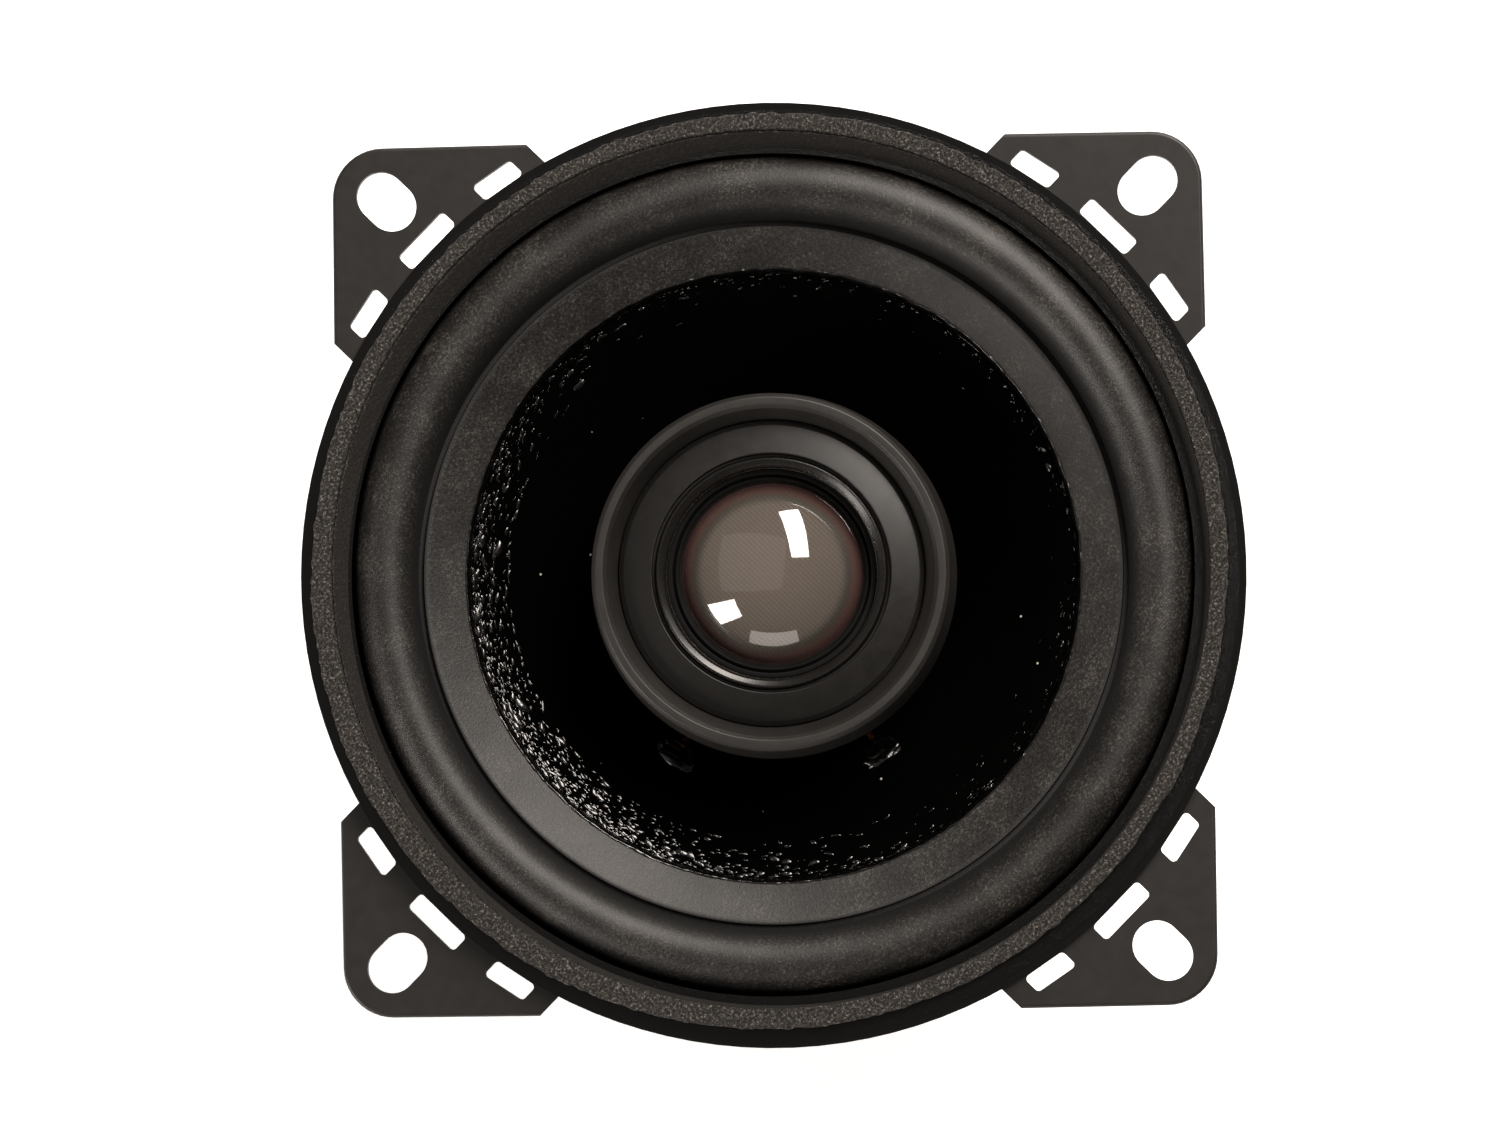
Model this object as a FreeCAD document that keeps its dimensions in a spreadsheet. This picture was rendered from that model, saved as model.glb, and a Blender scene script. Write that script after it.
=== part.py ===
"""Coaxial car speaker, 100 mm class, as a parametric FreeCAD document.

Millimetres, +Z out of the front. The origin is the centre of the mounting plane, which is the
rear face of the four fixing ears. The ears point along +X, +Y, -X and -Y, so that their screw
slots run along the axes. The terminals lie between the -X and -Y ears.
"""
import FreeCAD, Part
import math
import os

import Sketcher

Vector = FreeCAD.Vector
Z_AXIS = Vector(0, 0, 1)

# Driving dimensions: alias, value, what it is.
SIZES = [
    ("sheet", 1.1, "thickness of the pressed steel basket"),
    ("ear_root", 47.0, "where an ear starts, inside the flange"),
    ("ear_half", 14.8, "half of an ear's width at the flange"),
    ("ear_shoulder", 51.0, "where the ear's straight sides turn in at 45 degrees"),
    ("ear_arc_x", 58.1, "centre of the rounded tip"),
    ("ear_tip_x", 61.9, "where the rounded tip starts, along the ear"),
    ("ear_tip_y", 3.8, "where the rounded tip starts, across the ear"),
    ("slot_x", 57.5, "centre of a screw slot, on a 115 mm circle"),
    ("slot_rad", 2.6, "half of a slot's width"),
    ("slot_run", 0.85, "half of the straight part of a slot"),
    ("snap_in", 50.4, "inner side of the middle snap-off window"),
    ("snap_out", 52.5, "outer side of the middle snap-off window"),
    ("snap_half", 3.4, "half of the middle window's length"),
    ("side_x", 50.5, "centre of an outer snap-off window, along the ear"),
    ("side_y", 9.9, "centre of an outer snap-off window, across the ear"),
    ("side_lean", 0.48, "how far half of its length leans back"),
    ("side_half_x", 1.07, "half of its width"),
    ("side_half_y", 2.45, "half of its length"),
    ("snap_corner", 0.5, "corner radius of the snap-off windows"),
    ("edge_roll", 0.4, "rolled edge that the punch leaves on the ears' front"),
    ("flange_rise", 0.9, "how far the flange is pressed forward of the ears"),
    ("flange_rad", 50.3, "outside of the flange"),
    ("wall_rad", 46.5, "outside of the basket's wall"),
    ("wall_low", -5.0, "where the wall turns into the cone of the spokes"),
    ("bend", 0.6, "what a bend adds to the outside of the sheet"),
    ("ledge_rad", 31.0, "outside of the ledge that carries the spider"),
    ("ledge_top", -18.5, "top of that ledge"),
    ("cup_rad", 28.3, "outside of the cup under the spider"),
    ("floor_top", -25.0, "inside of the basket's floor"),
    ("floor_hole", 12.5, "hole in the floor round the voice coil"),
    ("opening_in", 32.6, "inner edge of an opening between two spokes"),
    ("opening_out", 44.4, "outer edge of an opening between two spokes"),
    ("spoke_half", 7.0, "half of a spoke's width"),
    ("tab_in", 31.0, "inner face of the tab for the terminal board"),
    ("tab_half", 5.5, "half of the tab's width"),
    ("tab_top", -18.7, "top of the tab, inside the ledge's sheet"),
    ("tab_low", -26.0, "bottom of the tab"),
    ("rivet_circle", 18.8, "radius of the circle of basket rivets"),
    ("rivet_rad", 1.6, "shank radius of a basket rivet"),
    ("rivet_head", 2.6, "head radius of a basket rivet"),
    ("rivet_height", 0.8, "head height of a basket rivet"),
    ("rivet_fit", 0.05, "room round a rivet's shank"),
    ("plate_rad", 27.5, "outside of the top plate and of the back plate"),
    ("plate", 4.0, "thickness of the top plate and of the back plate"),
    ("gap_rad", 11.5, "hole in the top plate"),
    ("ferrite_rad", 30.0, "outside of the ferrite ring"),
    ("ferrite_hole", 14.0, "inside of the ferrite ring"),
    ("ferrite", 10.0, "thickness of the ferrite ring"),
    ("pole_rad", 9.6, "radius of the pole"),
    ("pole_hole", 3.1, "bore through the pole for the post's shank"),
    ("nut_pocket", 6.8, "radius of the pocket for the nut"),
    ("nut_depth", 6.5, "depth of that pocket"),
    ("groove_half", 1.9, "half of the width of the groove for the tweeter's leads"),
    ("groove_deep", 2.2, "depth of that groove"),
    ("chamfer", 0.8, "chamfer on the plates and on the ferrite"),
    ("lip_rubber", 0.5, "thickness of the surround's rubber"),
    ("lip_rad", 49.5, "outside of the surround's glued lip"),
    ("roll_out", 44.7, "outer foot of the roll"),
    ("roll_in", 37.2, "inner foot of the roll"),
    ("roll_foot", 1.1, "height of both feet of the roll"),
    ("roll_arc_z", 0.75, "height of the centre of the roll's arc"),
    ("land_in", 32.8, "inside of the surround's landing on the cone"),
    ("land_low", -1.2, "height of the landing's inner edge"),
    ("gasket_in", 45.3, "inside of the foam gasket"),
    ("gasket_out", 48.7, "outside of the foam gasket"),
    ("gasket_high", 2.7, "height of the foam gasket"),
    ("cone_rim", 36.8, "outside of the cone"),
    ("cone_rim_z", 0.38, "height of the cone's outer edge"),
    ("cone_wall", 0.7, "the cone's thickness, measured upright"),
    ("neck_rad", 10.35, "front edge of the neck"),
    ("neck_z", -16.5, "height of the front edge of the neck"),
    ("cone_arc_z", -57.8, "height of the centre of the cone's curve"),
    ("glue_in", 30.4, "inside of the adhesive band on the cone"),
    ("glue_high", 0.35, "height of the adhesive band"),
    ("glue_foot", -2.8, "height of the cone at the inside of the adhesive band"),
    ("former_rad", 10.0, "inside of the voice coil's former"),
    ("former_wall", 0.25, "thickness of the former"),
    ("former_top", -13.4, "top of the former"),
    ("former_low", -32.3, "bottom of the former"),
    ("coil_wall", 0.6, "thickness of the winding"),
    ("coil_top", -24.1, "top of the winding"),
    ("coil_low", -32.0, "bottom of the winding"),
    ("spider_rad", 30.2, "outside of the spider"),
    ("spider_in", 10.3, "inside of the spider's neck"),
    ("spider_cloth", 0.5, "thickness of the spider"),
    ("wave", 1.9, "half of a wave of the spider"),
    ("wave_arc", 0.6, "how far the centre of a wave's arc lies off the cloth"),
    ("collar", 1.6, "width of the adhesive fillets at the neck"),
    ("post_rad", 4.0, "radius of the tweeter's post"),
    ("post_shank", 3.0, "radius of the shank inside the pole"),
    ("post_bore", 1.6, "bore of the post for the leads"),
    ("shank_low", -41.0, "bottom of the shank"),
    ("door_low", -7.8, "bottom of the opening for the leads in the post"),
    ("door_half", 1.3, "half of the width of that opening"),
    ("washer_rad", 6.4, "radius of the washer"),
    ("washer", 0.8, "thickness of the washer"),
    ("nut_rad", 5.2, "corner radius of the nut"),
    ("nut", 2.2, "thickness of the nut"),
    ("nut_half", 2.6, "half of the length of one side of the nut"),
    ("nut_flat", 4.5, "distance from the nut's axis to a flat"),
    ("thread_fit", 0.03, "room between the nut and the shank"),
    ("case_low", -4.0, "underside of the tweeter's housing"),
    ("case_floor", 1.4, "thickness of the housing's floor"),
    ("case_base", 19.2, "radius of the housing's base"),
    ("case_side", 19.6, "largest radius of the housing"),
    ("case_side_z", -2.9, "height of that radius"),
    ("case_bore", 17.6, "inside of the housing's wall"),
    ("lead_hole_x", 15.0, "where the leads enter the housing"),
    ("lead_hole", 0.6, "radius of a lead's hole in the housing"),
    ("shelf_in", 14.8, "inside of the shelf for the face plate"),
    ("shelf_low", 1.4, "underside of that shelf"),
    ("shelf_top", 2.4, "top of that shelf"),
    ("seat_rad", 16.35, "recess round the face plate"),
    ("seat_top", 3.7, "where the recess opens out"),
    ("lip_in", 17.35, "inside of the housing's front lip"),
    ("lip_in_z", 6.5, "height where the lip's inner edge starts to round"),
    ("lip_flat_in", 17.75, "inside of the lip's flat front"),
    ("lip_flat_out", 18.5, "outside of the lip's flat front"),
    ("lip_out", 18.95, "outside of the housing's front lip"),
    ("case_top", 7.0, "front of the housing"),
    ("pot_rad", 12.5, "outside of the tweeter's pot"),
    ("pot_bore", 10.15, "inside of the tweeter's pot"),
    ("pot_floor", -1.2, "inside of the pot's floor"),
    ("pot_top", 2.0, "rim of the pot"),
    ("neo_rad", 8.6, "radius of the tweeter's magnet"),
    ("neo_top", 0.8, "top of the tweeter's magnet"),
    ("pole_plate_rad", 8.85, "radius of the tweeter's pole plate"),
    ("face_in", 11.25, "hole in the face plate"),
    ("face_out", 16.2, "outside of the face plate"),
    ("ridge_top", 5.1, "top of the ridge round the hole"),
    ("ridge_side", 4.8, "where the ridge rounds into the hole"),
    ("ridge_in", 11.45, "inner edge of the ridge's top"),
    ("ridge_out", 12.0, "outer edge of the ridge's top"),
    ("ditch_in", 12.2, "inner side of the groove beside the ridge"),
    ("ditch_out", 12.65, "outer side of the groove beside the ridge"),
    ("ditch_low", 4.2, "bottom of that groove"),
    ("flare_in_z", 4.85, "height of the flare's inner edge"),
    ("flare_out", 15.7, "outer edge of the flare"),
    ("flare_out_z", 4.15, "height of the flare's outer edge"),
    ("flare_edge", 3.85, "where the flare's outer edge is rounded off"),
    ("clamp_in", 10.55, "inside of the clamp ring"),
    ("clamp_out", 11.15, "outside of the clamp ring"),
    ("clamp_low", 2.25, "underside of the clamp ring"),
    ("clamp_top", 3.1, "top of the clamp ring"),
    ("dome_rad", 9.55, "radius of the dome's edge"),
    ("dome_low", 2.3, "height of the dome's edge"),
    ("dome_top", 6.6, "height of the dome's crown"),
    ("film", 0.12, "thickness of the dome's clear film"),
    ("cloth", 0.2, "thickness of the cloth under the film"),
    ("cloth_rad", 9.35, "radius of the cloth's edge"),
    ("cloth_top", 6.42, "height of the cloth's crown"),
    ("halo_out", 11.1, "outside of the tweeter's surround"),
    ("halo_in", 9.65, "inside of the tweeter's surround"),
    ("halo_low", 2.05, "underside of the tweeter's surround"),
    ("halo", 0.15, "thickness of the tweeter's surround"),
    ("bobbin_rad", 9.25, "inside of the tweeter coil's former"),
    ("bobbin_wall", 0.1, "thickness of that former"),
    ("bobbin_low", -0.3, "bottom of that former"),
    ("bobbin_top", 2.2, "top of that former"),
    ("tweeter_coil", 0.3, "thickness of the tweeter's winding"),
    ("tweeter_coil_low", -0.1, "bottom of that winding"),
    ("tweeter_coil_top", 1.8, "top of that winding"),
    ("board_in", 32.1, "inner face of the terminal board"),
    ("board", 1.6, "thickness of the terminal board"),
    ("board_half", 13.0, "half of the board's width"),
    ("board_top", -20.4, "top of the board"),
    ("board_low", -31.0, "bottom of the board"),
    ("board_rivet_z", -23.2, "height of the rivet that holds the board"),
    ("blade", 0.8, "thickness of the blade terminals"),
    ("blade_y", 8.2, "how far each blade lies from the middle of the board"),
    ("wide_half", 3.15, "half of the wide blade's width"),
    ("slim_half", 2.4, "half of the slim blade's width"),
    ("blade_top", -19.2, "top of a blade's solder lug"),
    ("blade_low", -38.5, "tip of a blade"),
    ("blade_taper", 1.2, "taper at a blade's tip"),
    ("lug_half", 1.3, "half of a solder lug's width"),
    ("lug_low", -22.4, "where a blade narrows to its solder lug"),
    ("blade_hole_z", -36.0, "height of the latch hole in a blade"),
    ("blade_hole", 0.9, "radius of the latch hole"),
    ("terminal_rivet_z", -26.6, "height of the rivets that hold the blades"),
    ("small_rivet", 1.2, "shank radius of the small rivets"),
    ("small_head", 2.1, "head radius of the small rivets"),
    ("small_head_high", 0.7, "head height of the small rivets"),
    ("can_rad", 3.1, "radius of the capacitor"),
    ("can_half", 6.0, "half of the capacitor's length"),
    ("can_x", 37.5, "how far the capacitor lies from the axis"),
    ("can_z", -19.4, "height of the capacitor"),
    ("can_groove", 0.35, "depth of the rolled groove at the capacitor's end"),
    ("lead_wire", 0.45, "radius of the tweeter's insulated leads"),
    ("thin_wire", 0.3, "radius of the capacitor's and the coil's wires"),
    ("tinsel", 0.4, "radius of a tinsel lead"),
    ("eyelet_x", 19.0, "where a tinsel lead meets the cone, towards the terminals"),
    ("eyelet_y", 11.0, "where a tinsel lead meets the cone, sideways"),
    ("glue_dot", 1.7, "radius of the adhesive dot on a lead"),
    ("lead_y", 0.65, "half of the distance between the tweeter's leads"),
    ("lead_bend", 1.6, "bend radius of the tweeter's leads"),
    ("lead_high", 1.0, "upper end of the leads, inside the housing"),
    ("lead_run", -5.6, "height of the leads under the housing"),
    ("lead_back", -43.0, "height of the leads in the groove of the back plate"),
    ("lead_side", 31.3, "how far the leads stand off the axis beside the magnet"),
]

# Worked out from the cells above: the corners of the openings between the spokes.
SPOKE_TURN = "45 deg - asin(spoke_half / {0})"
DERIVED = [
    (f"{name}_{axis}", f"={name} * {wave}({SPOKE_TURN.format(name)})", "corner of an opening")
    for name in ("opening_in", "opening_out")
    for axis, wave in (("x", "cos"), ("y", "sin"))
]

EARS = 4
RIVETS = 4
WAVES = 8  # half waves of the spider
TERMINAL_ANGLE = 225  # degrees from +X: the spoke between the -X and -Y ears
SPOKE_ANGLE = 45  # degrees between an ear and the spoke beside it
SLACK = 0.45  # share of the shorter run that an arc takes at each end

document = FreeCAD.newDocument("coaxial_speaker")


def make_sheet():
    """The spreadsheet with the driving dimensions."""
    sheet = document.addObject("Spreadsheet::Sheet", "Sizes")
    for row, (alias, value, note) in enumerate(SIZES + DERIVED, start=1):
        sheet.set(f"A{row}", alias)
        sheet.set(f"B{row}", str(value))
        sheet.set(f"C{row}", note)
        sheet.setAlias(f"B{row}", alias)
    document.recompute()
    return sheet


sizes = make_sheet()


def number(text):
    """The value of a sum such as 'flange_rise + sheet', from the spreadsheet."""
    total, sign = 0.0, 1
    for word in text.split():
        if word in "+-":
            sign = 1 if word == "+" else -1
        elif word != "0":
            total += sign * float(sizes.get(word))
            sign = 1
    return total


def expression(text):
    """The same sum as a FreeCAD expression."""
    return " ".join(word if word in "+-0" else f"Sizes.{word}" for word in text.split())


def origin_feature(body, role):
    """One of a body's own origin planes or axes."""
    return next(item for item in body.Origin.OriginFeatures if item.Role == role)


def fix(sketch, geometry, end, across, text):
    """Hold one coordinate of a point at a sum from the spreadsheet."""
    if text == "0":
        line = -2 if across else -1
        sketch.addConstraint(Sketcher.Constraint("PointOnObject", geometry, end, line))
        return
    kind = "DistanceX" if across else "DistanceY"
    index = sketch.addConstraint(
        Sketcher.Constraint(kind, -1, 1, geometry, end, number(text))
    )
    sketch.setExpression(f"Constraints[{index}]", expression(text))


def arc_centre(start, stop, across, value):
    """Centre of the arc from start to stop, of which one coordinate is given."""
    (x0, y0), (x1, y1) = start, stop
    if across:
        pull = (x1 - value) ** 2 - (x0 - value) ** 2
        return value, (y1 * y1 - y0 * y0 + pull) / (2 * (y1 - y0))
    pull = (y1 - value) ** 2 - (y0 - value) ** 2
    return (x1 * x1 - x0 * x0 + pull) / (2 * (x1 - x0)), value


def add_edge(sketch, start, stop, arc):
    """Draw one side of an outline and return its number, first end and last end."""
    if arc is None:
        segment = Part.LineSegment(Vector(*start, 0), Vector(*stop, 0))
        return sketch.addGeometry(segment), 1, 2
    across, text = arc
    centre = arc_centre(start, stop, across, number(text))
    first = math.atan2(start[1] - centre[1], start[0] - centre[0])
    last = math.atan2(stop[1] - centre[1], stop[0] - centre[0])
    forward = (last - first) % (2 * math.pi) <= math.pi + 1e-6
    if not forward:
        first, last = last, first
    circle = Part.Circle(Vector(*centre, 0), Z_AXIS, math.dist(start, centre))
    geometry = sketch.addGeometry(Part.ArcOfCircle(circle, first, last))
    return (geometry, 1, 2) if forward else (geometry, 2, 1)


def add_outline(sketch, outline):
    """A closed outline of corners (x, y). A third item makes the side after a corner an arc:
    (True, text) gives the x of its centre and (False, text) gives the y."""
    corners = [(number(corner[0]), number(corner[1])) for corner in outline]
    arcs = [corner[2] if len(corner) > 2 else None for corner in outline]
    edges = [
        add_edge(sketch, corners[k], corners[(k + 1) % len(corners)], arcs[k])
        for k in range(len(corners))
    ]
    for k, (geometry, first, _) in enumerate(edges):
        before, _, last = edges[k - 1]
        sketch.addConstraint(
            Sketcher.Constraint("Coincident", before, last, geometry, first)
        )
        fix(sketch, geometry, first, True, outline[k][0])
        fix(sketch, geometry, first, False, outline[k][1])
        if arcs[k]:
            fix(sketch, geometry, 3, *arcs[k])


def sketch_on(body, name, role, outlines, turn=0.0, lift="0"):
    """A sketch on one of the body's origin planes, turned about Z and lifted along its normal."""
    sketch = body.newObject("Sketcher::SketchObject", name)
    sketch.AttachmentSupport = [(origin_feature(body, role), "")]
    sketch.MapMode = "FlatFace"
    flat = role == "XY_Plane"
    spin = FreeCAD.Rotation(Z_AXIS if flat else Vector(0, 1, 0), turn)
    sketch.AttachmentOffset = FreeCAD.Placement(Vector(0, 0, 0), spin)
    if flat and lift != "0":
        sketch.setExpression("AttachmentOffset.Base.z", expression(lift))
    elif lift != "0":
        height = expression(lift)
        sketch.setExpression("AttachmentOffset.Base.x", f"({height}) * sin({turn} deg)")
        sketch.setExpression("AttachmentOffset.Base.z", f"({height}) * cos({turn} deg)")
    for outline in outlines:
        add_outline(sketch, outline)
    sketch.Visibility = False
    document.recompute()
    return sketch


def new_body(label):
    """An empty body with its own label."""
    body = document.addObject("PartDesign::Body", label)
    body.Label = label
    return body


def place(piece, angle=0.0, x=0.0, y=0.0, z=0.0):
    """Put a piece at (x, y, z) and then turn it about the speaker's axis."""
    turn = FreeCAD.Rotation(Z_AXIS, angle)
    piece.Placement = FreeCAD.Placement(turn.multVec(Vector(x, y, z)), turn)
    return piece


def add_turned(body, name, outline, role="XZ_Plane", turn=0.0):
    """Revolve an outline of (radius, height) corners about its plane's second axis."""
    sketch = sketch_on(body, name + "_sketch", role, [outline], turn=turn)
    turned = body.newObject("PartDesign::Revolution", name)
    turned.Profile = sketch
    turned.ReferenceAxis = (sketch, ["V_Axis"])
    turned.Angle = 360
    sketch.Visibility = False
    return turned


def turned_body(label, outline):
    """A body that is one revolved outline."""
    body = new_body(label)
    add_turned(body, label + "_turned", outline)
    return body


def ring(label, inner, outer, low, high):
    """A plain ring, or a disc where the inner radius is 0."""
    return turned_body(label, [(inner, low), (outer, low), (outer, high), (inner, high)])


def add_pad(body, name, sketch, length, reverse=False):
    """Pad a sketch by a sum from the spreadsheet."""
    pad = body.newObject("PartDesign::Pad", name)
    pad.Profile = sketch
    pad.setExpression("Length", expression(length))
    pad.Reversed = reverse
    return pad


def add_pocket(body, name, sketch, length, reverse=False):
    """Cut a sketch out by a sum from the spreadsheet, and make sure that it cuts."""
    document.recompute()
    before = body.Shape.Volume
    pocket = body.newObject("PartDesign::Pocket", name)
    pocket.Profile = sketch
    pocket.setExpression("Length", expression(length))
    pocket.Reversed = reverse
    document.recompute()
    if body.Shape.Volume > before - 1e-3:
        raise RuntimeError(f"{name} cuts nothing")
    return pocket


def add_polar(body, name, features, count):
    """Repeat features evenly about the body's Z axis."""
    pattern = body.newObject("PartDesign::PolarPattern", name)
    pattern.Originals = features
    pattern.Axis = (origin_feature(body, "Z_Axis"), [""])
    pattern.Angle = 360
    pattern.Occurrences = count
    body.Tip = pattern
    document.recompute()
    return pattern


def add_fillet(body, name, radius, wanted):
    """Round the edges of the body that the test wanted(edge) picks."""
    document.recompute()
    names = [
        f"Edge{k}" for k, edge in enumerate(body.Shape.Edges, start=1) if wanted(edge)
    ]
    base = body.Tip
    fillet = body.newObject("PartDesign::Fillet", name)
    fillet.Base = (base, names)
    fillet.setExpression("Radius", expression(radius))
    document.recompute()
    return fillet


def box_outline(low_x, high_x, low_y, high_y):
    """Four corners of a rectangle."""
    return [(low_x, low_y), (high_x, low_y), (high_x, high_y), (low_x, high_y)]


def circle_outline(x, y, radius, room="0"):
    """A circle, with room round it, as two half circles from its left to its right."""
    return [
        (f"{x} - {radius} - {room}", y, (False, y)),
        (f"{x} + {radius} + {room}", y, (False, y)),
    ]


# The basket


def ear_outline():
    return [
        ("ear_root", "- ear_half"),
        ("ear_shoulder", "- ear_half"),
        ("ear_tip_x", "- ear_tip_y", (True, "ear_arc_x")),
        ("ear_tip_x", "ear_tip_y"),
        ("ear_shoulder", "ear_half"),
        ("ear_root", "ear_half"),
    ]


def slot_outline():
    return [
        ("slot_x - slot_run", "- slot_rad"),
        ("slot_x + slot_run", "- slot_rad", (True, "slot_x + slot_run")),
        ("slot_x + slot_run", "slot_rad"),
        ("slot_x - slot_run", "slot_rad", (True, "slot_x - slot_run")),
    ]


def side_window_outline(side):
    """A slanted window: its ends lie along the ear and its long sides follow the flange."""
    near, far = ("side_y - side_half_y", "side_y + side_half_y")
    if side == "-":
        near, far = ("- side_y + side_half_y", "- side_y - side_half_y")
    return [
        ("side_x + side_lean - side_half_x", near),
        ("side_x + side_lean + side_half_x", near),
        ("side_x - side_lean + side_half_x", far),
        ("side_x - side_lean - side_half_x", far),
    ]


def basket_profile():
    """The section of the pressed bowl, from the flange to the floor and back outside."""
    flange_top = "flange_rise + sheet"
    return [
        ("flange_rad", "flange_rise"),
        ("flange_rad", flange_top),
        ("wall_rad - sheet", flange_top),
        ("wall_rad - sheet", "wall_low"),
        ("ledge_rad", "ledge_top"),
        ("cup_rad - sheet", "ledge_top"),
        ("cup_rad - sheet", "floor_top"),
        ("floor_hole", "floor_top"),
        ("floor_hole", "floor_top - sheet"),
        ("cup_rad", "floor_top - sheet"),
        ("cup_rad", "ledge_top - sheet"),
        ("ledge_rad + bend", "ledge_top - sheet"),
        ("wall_rad", "wall_low - bend"),
        ("wall_rad", "flange_rise"),
    ]


def opening_outline():
    """An opening between two spokes of constant width, seen from the front."""
    return [
        ("opening_in_x", "- opening_in_y"),
        ("opening_out_x", "- opening_out_y", (True, "0")),
        ("opening_out_x", "opening_out_y"),
        ("opening_in_x", "opening_in_y", (True, "0")),
    ]


def is_upright(edge, low, high):
    """Does a straight edge run upright from the height low to the height high?"""
    box = edge.BoundBox
    flat = max(box.XLength, box.YLength) < 1e-3
    return flat and abs(box.ZMin - low) < 1e-3 and abs(box.ZMax - high) < 1e-3


def is_window_corner(edge):
    """An upright edge of the ears' snap-off windows."""
    radius = math.hypot(edge.Vertexes[0].X, edge.Vertexes[0].Y)
    inside = number("flange_rad") + 0.01 < radius < number("slot_x - slot_rad - slot_run")
    point = edge.Vertexes[0].Point
    along = max(abs(point.x), abs(point.y))
    across = min(abs(point.x), abs(point.y))
    return inside and across < number("ear_half") - 1 and is_upright(
        edge, 0, number("sheet")
    ) and along < number("snap_out") + 1


def is_ear_rim(edge):
    """An edge of an ear's front outline, from one shoulder round the tip to the other."""
    box = edge.BoundBox
    front = number("sheet")
    middle = edge.valueAt((edge.FirstParameter + edge.LastParameter) / 2)
    along = max(abs(middle.x), abs(middle.y))
    across = min(abs(middle.x), abs(middle.y))
    slope = along + across > number("ear_shoulder + ear_half") - 0.1
    tip = along > number("ear_tip_x")
    return abs(box.ZMin - front) < 1e-3 and abs(box.ZMax - front) < 1e-3 and (slope or tip)


def make_basket():
    """Pressed steel bowl with a flange, four slotted snap-off ears, spokes and a floor."""
    body = new_body("basket")
    add_turned(body, "bowl", basket_profile(), turn=SPOKE_ANGLE)
    ear_sketch = sketch_on(body, "ear_sketch", "XY_Plane", [ear_outline()])
    ear = add_pad(body, "ear", ear_sketch, "sheet")
    holes = [
        slot_outline(),
        box_outline("snap_in", "snap_out", "- snap_half", "snap_half"),
        side_window_outline("+"),
        side_window_outline("-"),
    ]
    hole_sketch = sketch_on(body, "ear_hole_sketch", "XY_Plane", holes)
    cut = add_pocket(body, "ear_holes", hole_sketch, "sheet + sheet", reverse=True)
    add_polar(body, "ears", [ear, cut], EARS)
    opening_sketch = sketch_on(body, "opening_sketch", "XY_Plane", [opening_outline()])
    opening = add_pocket(body, "opening", opening_sketch, "wall_rad")
    add_polar(body, "openings", [opening], EARS)
    tab = box_outline("tab_in", "tab_in + sheet", "- tab_half", "tab_half")
    tab_sketch = sketch_on(
        body, "tab_sketch", "XY_Plane", [tab], turn=TERMINAL_ANGLE, lift="tab_low"
    )
    add_pad(body, "tab", tab_sketch, "tab_top - tab_low")
    tab_hole = circle_outline("0", "board_rivet_z", "small_rivet", "rivet_fit")
    tab_hole_sketch = sketch_on(
        body, "tab_hole_sketch", "YZ_Plane", [tab_hole], turn=TERMINAL_ANGLE, lift="ledge_rad"
    )
    add_pocket(body, "tab_hole", tab_hole_sketch, "sheet + sheet", reverse=True)
    rivet_hole = circle_outline("rivet_circle", "0", "rivet_rad", "rivet_fit")
    rivet_sketch = sketch_on(
        body, "rivet_sketch", "XY_Plane", [rivet_hole], turn=SPOKE_ANGLE, lift="floor_top"
    )
    hole = add_pocket(body, "rivet_hole", rivet_sketch, "sheet + sheet")
    add_polar(body, "rivet_holes", [hole], RIVETS)
    add_fillet(body, "window_corners", "snap_corner", is_window_corner)
    add_fillet(body, "rolled_edges", "edge_roll", is_ear_rim)
    return body


# The motor


MOTOR_TOP = "floor_top - sheet"
PLATE_LOW = MOTOR_TOP + " - plate"
FERRITE_LOW = PLATE_LOW + " - ferrite"
BACK_LOW = FERRITE_LOW + " - plate"


def make_top_plate():
    """Steel plate round the voice coil, with four holes for the basket's rivets."""
    body = turned_body("top_plate", [
        ("gap_rad", PLATE_LOW),
        ("plate_rad", PLATE_LOW),
        ("plate_rad", MOTOR_TOP + " - chamfer"),
        ("plate_rad - chamfer", MOTOR_TOP),
        ("gap_rad", MOTOR_TOP),
    ])
    hole = circle_outline("rivet_circle", "0", "rivet_rad", "rivet_fit")
    sketch = sketch_on(
        body, "plate_hole_sketch", "XY_Plane", [hole], turn=SPOKE_ANGLE, lift=MOTOR_TOP
    )
    pocket = add_pocket(body, "plate_hole", sketch, "plate + sheet")
    add_polar(body, "plate_holes", [pocket], RIVETS)


def make_ferrite():
    """Ferrite ring magnet with chamfered edges."""
    turned_body("ferrite_magnet", [
        ("ferrite_hole", FERRITE_LOW),
        ("ferrite_rad - chamfer", FERRITE_LOW),
        ("ferrite_rad", FERRITE_LOW + " + chamfer"),
        ("ferrite_rad", PLATE_LOW + " - chamfer"),
        ("ferrite_rad - chamfer", PLATE_LOW),
        ("ferrite_hole", PLATE_LOW),
    ])


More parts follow.
